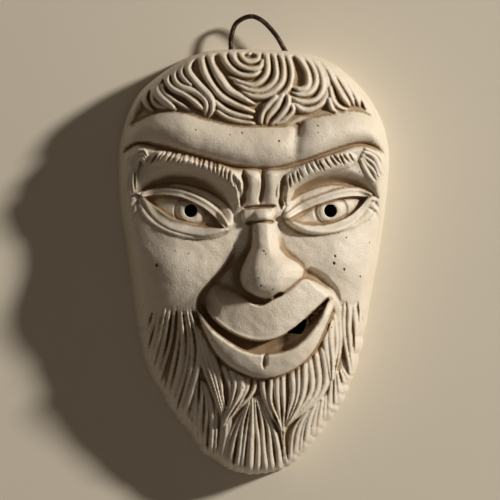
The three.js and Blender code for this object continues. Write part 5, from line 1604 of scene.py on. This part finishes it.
@dataclass
class PlasterMask:
    """The plaster cast: carved face, side wall, flat back ring and hollow, pierced at pupils and mouth.

    Width and height are in metres, wall, ring, lip and pupil in millimetres, and the rest in squares.
    """

    width: float = 0.147
    height: float = 0.230
    wall: float = 12.5
    ring_width: float = 11.0
    hollow_lip: float = 7.0
    pupil: float = 7.0
    squares: Pair = (272.0, 426.0)
    fine: float = 1.0
    coarse: float = 2.6
    lattice_starts: Pair = (0.2, 0.4)
    brow_rows: Pair = (238.0, 330.0)
    mouth_rows: Pair = (95.0, 262.0)
    mouth_columns: Pair = (-66.0, 92.0)
    pupil_points: int = 36
    mouth_points: int = 48
    crease_gap: float = 0.9
    crease_half: float = 0.22
    clear_of_rim: float = 1.2
    clear_of_holes: float = 0.5
    clear_of_lines: float = 0.55
    inside_rim: float = 0.45
    same_place: float = 1e-4
    side_levels: int = 4
    hollow_gap: float = 6.0
    hollow_start: float = 1.0
    hollow_clear: float = 2.5
    hollow_power: float = 5.0
    wash_margin: int = 4
    wash_least: float = 0.12
    wash_deepest: float = 5.0
    wash_most: float = 1.2
    wash_reach: Pair = (1.0, 6.0)
    sharp_angle: float = 75.0
    points: list = field(default_factory=list)
    faces: list = field(default_factory=list)

    def __post_init__(self) -> None:
        """Work out the squares' size, the place in the frame and the carving."""
        self.square = (self.width / self.squares[0] * 1000, self.height / self.squares[1] * 1000)
        self.carving = Carving(self.square)
        low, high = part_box("plaster_mask")
        rim = self.carving.rim
        self.middle = ((rim[:, 0].min() + rim[:, 0].max()) / 2, (rim[:, 1].min() + rim[:, 1].max()) / 2)
        self.centre = ((low.x + high.x) / 2, (low.y + high.y) / 2, low.z)

    def place(self, flat: Field, depth: Field) -> Field:
        """Turn squares and depth steps into metres in the frame.

        Args:
            flat: places in squares.
            depth: depths in steps of a millimetre.

        Returns:
            Points in metres.
        """
        x = (flat[:, 0] - self.middle[0]) * self.square[0] / 1000 + self.centre[0]
        y = (flat[:, 1] - self.middle[1]) * self.square[1] / 1000 + self.centre[1]
        return np.stack([x, y, np.asarray(depth) / 1000 + self.centre[2]], -1)

    def pierced(self) -> list[Field]:
        """Draw the holes that go right through: both pupils and the open part of the mouth."""
        radius = self.pupil / 2 / np.array(self.square)
        holes = [np.array(eye.pupil) + radius * circle(self.pupil_points) for eye in EYES]
        mouth = Line(OPEN_MOUTH, closed=True)
        holes.append(mouth.at(np.arange(self.mouth_points) / self.mouth_points))
        return holes

    def busy(self, x: Field, y: Field) -> Field:
        """Tell which places carry fine carving."""
        found = self.carving.band_top.near(x, y)[2] > 0
        found |= self.carving.beard_edge.near(x, y)[2] < 0
        found |= within(y, self.brow_rows) & (self.carving.band_low.near(x, y)[2] < 0)
        return found | (within(y, self.mouth_rows) & within(x, self.mouth_columns))

    def lattice(self, gap: float, offset: float) -> Field:
        """Lay out a triangular lattice of places over the outline's box."""
        half = self.squares[0] / 2
        out = []
        for k, key in enumerate(np.arange(offset, self.squares[1], gap * math.sqrt(3) / 2)):
            row = np.arange(-half + (k % 2) * gap / 2, half, gap)
            out.append(np.stack([row, np.full(len(row), key)], -1))
        return np.vstack(out)

    def creases(self) -> list[Field]:
        """Give the lines that the mesh has to follow as sharp creases."""
        carving = self.carving
        lines = [carving.slab.first, carving.slab.second, carving.lip.first, carving.lip.second]
        lines += [carving.band_low, carving.nose_side]
        for eye in EYES:
            lines += [Line(eye.top), Line(eye.low), Line(eye.lid), Line(eye.bag)]
        pairs = []
        for line in lines:
            middle = line.spaced(self.crease_gap)
            way = np.gradient(middle, axis=0)
            across = np.stack([-way[:, 1], way[:, 0]], -1) / np.hypot(*way.T)[:, None]
            pairs += [middle + self.crease_half * across, middle - self.crease_half * across]
        return pairs

    def triangulate(
        self, rings: list[Field], lines: list[Field], loose: Field
    ) -> tuple[Field, Field, list[Field]]:
        """Join places into triangles inside the first ring and outside the others.

        Args:
            rings: the border and the holes.
            lines: lines that triangles may not cross.
            loose: further places.

        Returns:
            The places, the triangles, and each ring as numbers of places.
        """
        flat, edges, starts = [], [], []
        count = 0
        for ring in rings:
            starts.append((count, len(ring)))
            edges += [(count + k, count + (k + 1) % len(ring)) for k in range(len(ring))]
            flat.append(ring)
            count += len(ring)
        for line in lines:
            edges += [(count + k, count + k + 1) for k in range(len(line) - 1)]
            flat.append(line)
            count += len(line)
        flat.append(loose)
        given = [Vector((float(a), float(b))) for a, b in np.vstack(flat)]
        places, _, triangles, origins, _, _ = delaunay_2d_cdt(given, edges, [], 0, self.same_place, True)
        places = np.array([tuple(p) for p in places])
        triangles = np.array([t for t in triangles if len(t) == 3])
        now = np.full(len(given), -1)
        for k, from_given in enumerate(origins):
            for one in from_given:
                now[one] = k
        corner = places[triangles]
        centre = corner.mean(1)
        keep = is_inside(centre[:, 0], centre[:, 1], rings[0])
        for hole in rings[1:]:
            keep &= ~is_inside(centre[:, 0], centre[:, 1], hole)
        first, second = corner[:, 1] - corner[:, 0], corner[:, 2] - corner[:, 0]
        turned = first[:, 0] * second[:, 1] - first[:, 1] * second[:, 0] < 0
        triangles[turned] = triangles[turned][:, ::-1]
        numbers = [now[start : start + size] for start, size in starts]
        return places, triangles[keep], numbers

    def front_places(self, holes: list[Field]) -> tuple[list[Field], Field]:
        """Pick the lines and loose places of the front."""
        carving = self.carving
        lines = []
        for line in self.creases():
            inside = is_inside(line[:, 0], line[:, 1], carving.crease)
            inside &= carving.crease_line.near(line[:, 0], line[:, 1])[0] > self.clear_of_rim
            for hole in holes:
                around = Line.through(np.vstack([hole, hole[:1]]))
                inside &= around.near(line[:, 0], line[:, 1])[0] > self.clear_of_holes
            runs = np.split(np.arange(len(line)), np.nonzero(~inside)[0])
            lines += [line[run[inside[run]]] for run in runs if inside[run].sum() > 1]
        fine = self.lattice(self.fine, self.lattice_starts[0])
        fine = fine[self.busy(fine[:, 0], fine[:, 1])]
        coarse = self.lattice(self.coarse, self.lattice_starts[1])
        coarse = coarse[~self.busy(coarse[:, 0], coarse[:, 1])]
        spots = []
        for *at, radius in AIR_HOLES:
            for ring, count in HOLE.rings:
                spots.append(np.array(at) + ring * radius * circle(count))
        extra = np.vstack(spots)
        loose = np.vstack([fine, coarse])
        fixed = np.vstack([*lines, extra, carving.crease, *holes])
        loose = loose[~self.crowded(loose, fixed, self.clear_of_lines)]
        loose = np.vstack([loose, extra])
        loose = loose[is_inside(loose[:, 0], loose[:, 1], carving.crease)]
        loose = loose[carving.crease_line.near(loose[:, 0], loose[:, 1])[0] > self.inside_rim]
        return lines, loose

    @staticmethod
    def crowded(loose: Field, fixed: Field, gap: float) -> Field:
        """Tell which loose places lie about a gap or less from a fixed one."""
        margin = 3
        low = fixed.min(0) - margin
        shape = tuple(np.ceil((fixed.max(0) + margin - low) / gap).astype(int) + margin)
        taken = np.zeros(shape, bool)
        cell = ((fixed - low) / gap).astype(int) + 1
        for dx in (-1, 0, 1):
            for dy in (-1, 0, 1):
                if not (dx and dy):
                    taken[cell[:, 0] + dx, cell[:, 1] + dy] = True
        spot = ((loose - low) / gap).astype(int) + 1
        spot = np.clip(spot, 0, np.array(shape) - 1)
        return taken[spot[:, 0], spot[:, 1]]

    def ceiling(self, flat: Field, ring: Field) -> Field:
        """Give the depth of the hollow's ceiling.

        Args:
            flat: places in squares.
            ring: the hollow's border.

        Returns:
            Depths in steps.
        """
        middle = np.array([0.0, self.squares[1] / 2])
        turns = np.arctan2(*(ring - middle).T[::-1])
        order = np.argsort(turns)
        reach = np.hypot(*(ring - middle).T)
        away = flat - middle
        edge = np.interp(np.arctan2(away[:, 1], away[:, 0]), turns[order], reach[order], period=2 * math.pi)
        share = np.clip(np.hypot(*away.T) / edge, 0.0, 1.0)
        top = self.carving.ground(flat[:, 0], flat[:, 1]) - self.wall
        return top + (self.hollow_lip - top) * share**self.hollow_power

    def add(self, points: Field) -> int:
        """Add points to the mesh and give the number of the first."""
        start = sum(len(part) for part in self.points)
        self.points.append(points)
        return start

    def join(self, lower: Field, upper: Field) -> None:
        """Join two rings of points with a wall that faces right of their direction."""
        lower_next, upper_next = np.roll(lower, -1), np.roll(upper, -1)
        self.faces.append(np.stack([lower, lower_next, upper], -1))
        self.faces.append(np.stack([lower_next, upper_next, upper], -1))

    def build(self) -> bpy.types.Object:
        """Build the closed mesh with its recess attribute for the wash and its attribute of painted shade in
        the air holes.

        Returns:
            The mask object at the origin.
        """
        carving = self.carving
        holes = self.pierced()
        lines, loose = self.front_places(holes)
        flat, triangles, rings = self.triangulate([carving.crease, *holes], lines, loose)
        LOG.info("front net: %d places, %d triangles", len(flat), len(triangles))
        depth = carving.depth(flat[:, 0], flat[:, 1])
        depth[rings[0]] = carving.crease_depth(flat[rings[0], 1])
        used = np.unique(triangles)
        renumber = np.full(len(flat), -1)
        renumber[used] = np.arange(len(used))
        self.add(self.place(flat[used], depth[used]))
        self.faces.append(renumber[triangles])
        crease, *hole_rings = (renumber[ring] for ring in rings)
        recess = self.recess(flat[used])
        # Painted shade for the floors of the air holes
        pit_shades = self.pit_shade_shares(flat[used])

        below = self.add_side_wall(crease, flat[rings[0]])
        hollow = carving.inset(lambda out: np.full(len(out), self.ring_width))
        back = self.add(self.place(hollow, np.zeros(len(hollow)))) + np.arange(len(hollow))
        self.join(back, below)
        self.add_hollow(hollow, back, holes, hole_rings)
        return self.finished(recess, pit_shades)

    def add_side_wall(self, crease: Field, flat: Field) -> Field:
        """Run the side wall from the crease down to the outline and give its lowest ring."""
        upper = crease
        high = self.carving.crease_depth(flat[:, 1])
        for level in range(1, self.side_levels + 1):
            share = level / self.side_levels
            ring = flat + (self.carving.rim - flat) * share
            lower = self.add(self.place(ring, high * (1 - share))) + np.arange(len(ring))
            self.join(lower, upper)
            upper = lower
        return upper

    def add_hollow(self, hollow: Field, back: Field, holes: list[Field], hole_rings: list[Field]) -> None:
        """Close the hollow: its lip, its ceiling and the walls of the pierced holes.

        Args:
            hollow: the hollow's border in squares.
            back: the numbers of its border points on the back plane.
            holes: the pierced holes in squares.
            hole_rings: the numbers of their points on the front.
        """
        loose = self.lattice(self.hollow_gap, self.hollow_start)
        loose = loose[is_inside(loose[:, 0], loose[:, 1], hollow)]
        loose = loose[~self.crowded(loose, np.vstack([hollow, *holes]), self.hollow_clear)]
        flat, triangles, rings = self.triangulate([hollow, *holes], [], loose)
        used = np.unique(triangles)
        renumber = np.full(len(flat), -1)
        start = self.add(self.place(flat[used], self.ceiling(flat[used], hollow)))
        renumber[used] = np.arange(len(used)) + start
        self.faces.append(renumber[triangles][:, ::-1])
        border, *low_rings = (renumber[ring] for ring in rings)
        self.join(border, back)
        for low_ring, top_ring in zip(low_rings, hole_rings):
            self.join(top_ring, low_ring)

    def pit_shade_shares(self, flat: Field) -> Field:
        """Give the painted shade at the floors of the air holes: a near-black colour that stands for the
        shade inside them.
        """
        out = np.zeros(len(flat))
        for px, py, radius in AIR_HOLES:
            gap = np.hypot(flat[:, 0] - px, flat[:, 1] - py)
            out = np.maximum(out, np.clip(HOLE.slope - gap / radius, 0.0, HOLE.darkest))
        return out

    def recess(self, flat: Field) -> Field:
        """Measure how deep each place lies among its neighbours, for the wash.

        Args:
            flat: places in squares.

        Returns:
            0 on open skin and about 1 in a narrow groove.
        """
        margin = self.wash_margin
        low = np.array([-self.squares[0] / 2 - margin, -margin])
        shape = (int(self.squares[0]) + 3 * margin, int(self.squares[1]) + 3 * margin)
        column, row = np.meshgrid(*(np.arange(size, dtype=float) for size in shape), indexing="ij")
        depth = self.carving.depth(column.ravel() + low[0], row.ravel() + low[1]).reshape(shape)
        found = np.zeros(shape)
        for reach, strength in WASH_REACH:
            below = self.soften(depth, reach) - depth - self.wash_least
            found += strength * np.clip(below, 0.0, self.wash_deepest)
        found = self.soften(found, 1)
        place = flat - low
        cell = np.floor(place).astype(int)
        share = place - cell
        out = np.zeros(len(flat))
        for i, j in ((0, 0), (0, 1), (1, 0), (1, 1)):
            weight = np.abs(1 - i - share[:, 0]) * np.abs(1 - j - share[:, 1])
            out += weight * found[cell[:, 0] + i, cell[:, 1] + j]
        from_edge = self.carving.crease_line.near(flat[:, 0], flat[:, 1])[0]
        low_end, high_end, more = HAIR_WASH
        out *= 1.0 + more * ramp(flat[:, 1], low_end, high_end)
        return np.clip(out, 0.0, self.wash_most) * ramp(from_edge, *self.wash_reach)

    @staticmethod
    def soften(grid: Field, reach: int) -> Field:
        """Blur a grid over a reach in cells, twice in each direction."""
        window = np.hanning(2 * reach + 3)[1:-1]
        window /= window.sum()
        for axis in (0, 1):
            grid = np.apply_along_axis(lambda row: np.convolve(row, window, mode="same"), axis, grid)
        return grid

    def finished(self, recess: Field, pit_shades: Field) -> bpy.types.Object:
        """Make the mesh object with its attributes and smooth faces."""
        points = np.vstack(self.points)
        faces = np.vstack(self.faces)
        mesh = bpy.data.meshes.new("mask_plaster")
        mesh.vertices.add(len(points))
        mesh.vertices.foreach_set("co", points.ravel())
        mesh.loops.add(faces.size)
        mesh.loops.foreach_set("vertex_index", faces.ravel().astype(np.int32))
        mesh.polygons.add(len(faces))
        mesh.polygons.foreach_set("loop_start", np.arange(0, faces.size, 3, dtype=np.int32))
        mesh.update(calc_edges=True)
        mesh.validate()
        # The recess share carries the wash; the other share carries painted shade in the air holes
        for name, values in (("recess", recess), ("pit_shade", pit_shades)):
            whole = np.zeros(len(points), np.float32)
            whole[: len(values)] = values
            mesh.attributes.new(name, "FLOAT", "POINT").data.foreach_set("value", whole)
        LOG.info("mask: %d triangles", len(faces))
        return smoothed("mask_plaster", mesh, self.sharp_angle)


@dataclass
class HangingLoop:
    """The bent wire at the crown, swept along its middle line, with its sizes in metres."""

    diameter: float = 0.0026
    span: float = 0.0287
    rise: float = 0.017
    offset: float = 0.0019
    level: float = 0.010
    hidden: float = 0.008
    sides: int = 20
    step: float = 0.03
    aim: int = 3
    sharp_angle: float = 60.0

    def line(self, mask: PlasterMask) -> Field:
        """Lay the wire's middle line from one end in the plaster to the other.

        Args:
            mask: the mask whose crown the wire leaves.

        Returns:
            Points in metres.
        """
        rim = mask.place(mask.carving.rim, np.zeros(len(mask.carving.rim)))
        crown = rim[rim[:, 1] > rim[:, 1].mean()]
        crown = crown[np.argsort(crown[:, 0])]
        drawn = Line(LOOP_LINE).spaced(self.step)
        middle = mask.place(np.array([[0.0, 0.0]]), np.zeros(1))[0, 0]
        x = middle + self.offset + drawn[:, 0] * self.span / 2
        y = np.interp(x, crown[:, 0], crown[:, 1]) + drawn[:, 1] * self.rise
        loop = np.stack([x, y], -1)
        ends = []
        for tip, beyond in ((loop[0], loop[self.aim]), (loop[-1], loop[-1 - self.aim])):
            way = (tip - beyond) / np.hypot(*(tip - beyond))
            ends.append(tip + way * self.hidden)
        flat = np.vstack([ends[0], loop, ends[1]])
        return np.column_stack([flat, np.full(len(flat), self.level)])

    def tree(self, material: bpy.types.Material) -> bpy.types.GeometryNodeTree:
        """Build the Geometry Nodes tree that sweeps a round section along an edge path.

        Args:
            material: what the swept wire is dressed in.

        Returns:
            The tree, with inputs for the diameter and the number of sides.
        """
        tree = bpy.data.node_groups.new("swept_wire", "GeometryNodeTree")
        face = tree.interface
        face.new_socket("Path", in_out="INPUT", socket_type="NodeSocketGeometry")
        face.new_socket("Diameter", in_out="INPUT", socket_type="NodeSocketFloat")
        face.new_socket("Sides", in_out="INPUT", socket_type="NodeSocketInt")
        face.new_socket("Wire", in_out="OUTPUT", socket_type="NodeSocketGeometry")
        new, link = tree.nodes.new, tree.links.new
        given, result = new("NodeGroupInput"), new("NodeGroupOutput")
        path, halve = new("GeometryNodeMeshToCurve"), new("ShaderNodeMath")
        section, sweep = new("GeometryNodeCurvePrimitiveCircle"), new("GeometryNodeCurveToMesh")
        real, dressed = new("GeometryNodeRealizeInstances"), new("GeometryNodeSetMaterial")
        halve.operation = "MULTIPLY"
        halve.inputs[1].default_value = 0.5
        sweep.inputs["Fill Caps"].default_value = True
        dressed.inputs["Material"].default_value = material
        link(given.outputs["Path"], path.inputs[0])
        link(given.outputs["Diameter"], halve.inputs[0])
        link(halve.outputs[0], section.inputs["Radius"])
        link(given.outputs["Sides"], section.inputs["Resolution"])
        link(path.outputs[0], sweep.inputs["Curve"])
        link(section.outputs[0], sweep.inputs["Profile Curve"])
        link(sweep.outputs[0], real.inputs[0])
        link(real.outputs[0], dressed.inputs["Geometry"])
        link(dressed.outputs[0], result.inputs[0])
        return tree

    def build(self, mask: PlasterMask, material: bpy.types.Material) -> bpy.types.Object:
        """Sweep the wire and give it as a plain mesh.

        Args:
            mask: the mask that it hangs.
            material: the wire's finish.

        Returns:
            The wire object at the origin.
        """
        line = self.line(mask)
        path = bpy.data.meshes.new("wire_path")
        path.from_pydata([tuple(p) for p in line], [(k, k + 1) for k in range(len(line) - 1)], [])
        carrier = put_in_scene("wire_path", path)
        modifier = carrier.modifiers.new("sweep", "NODES")
        modifier.node_group = self.tree(material)
        given = {"Diameter": self.diameter, "Sides": self.sides}
        for item in modifier.node_group.interface.items_tree:
            if item.in_out == "INPUT" and item.name in given:
                modifier[item.identifier] = given[item.name]
        bpy.context.view_layer.update()
        mesh = bpy.data.meshes.new_from_object(carrier.evaluated_get(bpy.context.evaluated_depsgraph_get()))
        bpy.data.objects.remove(carrier)
        mesh.name = "hanging_wire"
        return smoothed("hanging_wire", mesh, self.sharp_angle)


@dataclass(frozen=True)
class Lamp:
    """A round area light: its place, width, power in watts and colour."""

    at: tuple[float, float, float]
    size: float
    power: float
    colour: tuple[float, float, float]


@dataclass
class Studio:
    """The stage: a pale floor, a soft key light, a weak fill and the camera over the mask, in metres."""

    frame_squares: float = 492.0
    frame_middle: Pair = (-4.0, 224.0)
    camera_height: float = 1.7
    seen_level: float = 0.030
    lit_level: float = 0.02
    floor_half: float = 1.5
    key: Lamp = Lamp((3.25, 1.4, 1.72), 0.42, 168.0, (1.0, 0.94, 0.86))
    fill: Lamp = Lamp((-0.3, -0.9, 1.4), 1.2, 0.8, (1.0, 0.93, 0.86))
    world_colour: Colour = (1.0, 0.80, 0.62, 1.0)
    world_strength: float = 0.07

    def floor(self, material: bpy.types.Material) -> None:
        """Lay the floor just under the mask."""
        half = self.floor_half
        mesh = bpy.data.meshes.new("floor")
        corners = [(-half, -half, 0), (half, -half, 0), (half, half, 0), (-half, half, 0)]
        mesh.from_pydata(corners, [], [(0, 1, 2, 3)])
        mesh.materials.append(material)
        put_in_scene("floor", mesh)

    def light(self, name: str, lamp: Lamp) -> None:
        """Hang an area light that looks at the mask."""
        data = bpy.data.lights.new(name, "AREA")
        data.shape, data.size, data.energy, data.color = "DISK", lamp.size, lamp.power, lamp.colour
        light = put_in_scene(name, data)
        light.location = lamp.at
        way = Vector((0, 0, self.lit_level)) - Vector(lamp.at)
        light.rotation_euler = way.to_track_quat("-Z", "Y").to_euler()

    def camera(self, mask: PlasterMask) -> None:
        """Set the camera over the mask, with the whole drawing in its square frame."""
        data = bpy.data.cameras.new("camera")
        middle = mask.place(np.array([self.frame_middle]), np.zeros(1))[0]
        seen = self.frame_squares * mask.square[1] / 1000
        data.sensor_fit = "AUTO"
        data.angle = 2 * math.atan(seen / 2 / (self.camera_height - self.seen_level))
        camera = put_in_scene("camera", data)
        camera.location = (middle[0], middle[1], self.camera_height)
        bpy.context.scene.camera = camera

    def build(self, mask: PlasterMask, floor: bpy.types.Material) -> None:
        """Set up the floor, lights, surroundings and camera."""
        self.floor(floor)
        self.light("key", self.key)
        self.light("fill", self.fill)
        world = bpy.data.worlds.new("surroundings")
        bpy.context.scene.world = world
        world.use_nodes = True
        background = world.node_tree.nodes["Background"]
        background.inputs["Color"].default_value = self.world_colour
        background.inputs["Strength"].default_value = self.world_strength
        bpy.context.scene.view_settings.view_transform = "Standard"
        self.camera(mask)


def hand_over(piece: bpy.types.Object, material: bpy.types.Material, node: str) -> None:
    """Dress a piece, hang it on the root body and hide the part that it replaces.

    Args:
        piece: the piece.
        material: its finish.
        node: the node that it replaces.
    """
    piece.data.materials.clear()
    piece.data.materials.append(material)
    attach(piece, "root")
    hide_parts(node)
    LOG.info("built %s", piece.name)


def main() -> None:
    """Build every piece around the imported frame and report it."""
    logging.basicConfig(level=logging.INFO, format="%(name)s: %(message)s")
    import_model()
    group = mottle_group()
    finishes = (PlasterFinish(), WireFinish(), FloorFinish())
    plaster, wire, floor = (finish.material(group) for finish in finishes)

    mask = PlasterMask()
    hand_over(mask.build(), plaster, "plaster_mask")
    hand_over(HangingLoop().build(mask, wire), wire, "hanging_loop")

    Studio().build(mask, floor)


if __name__ == "__main__":
    main()
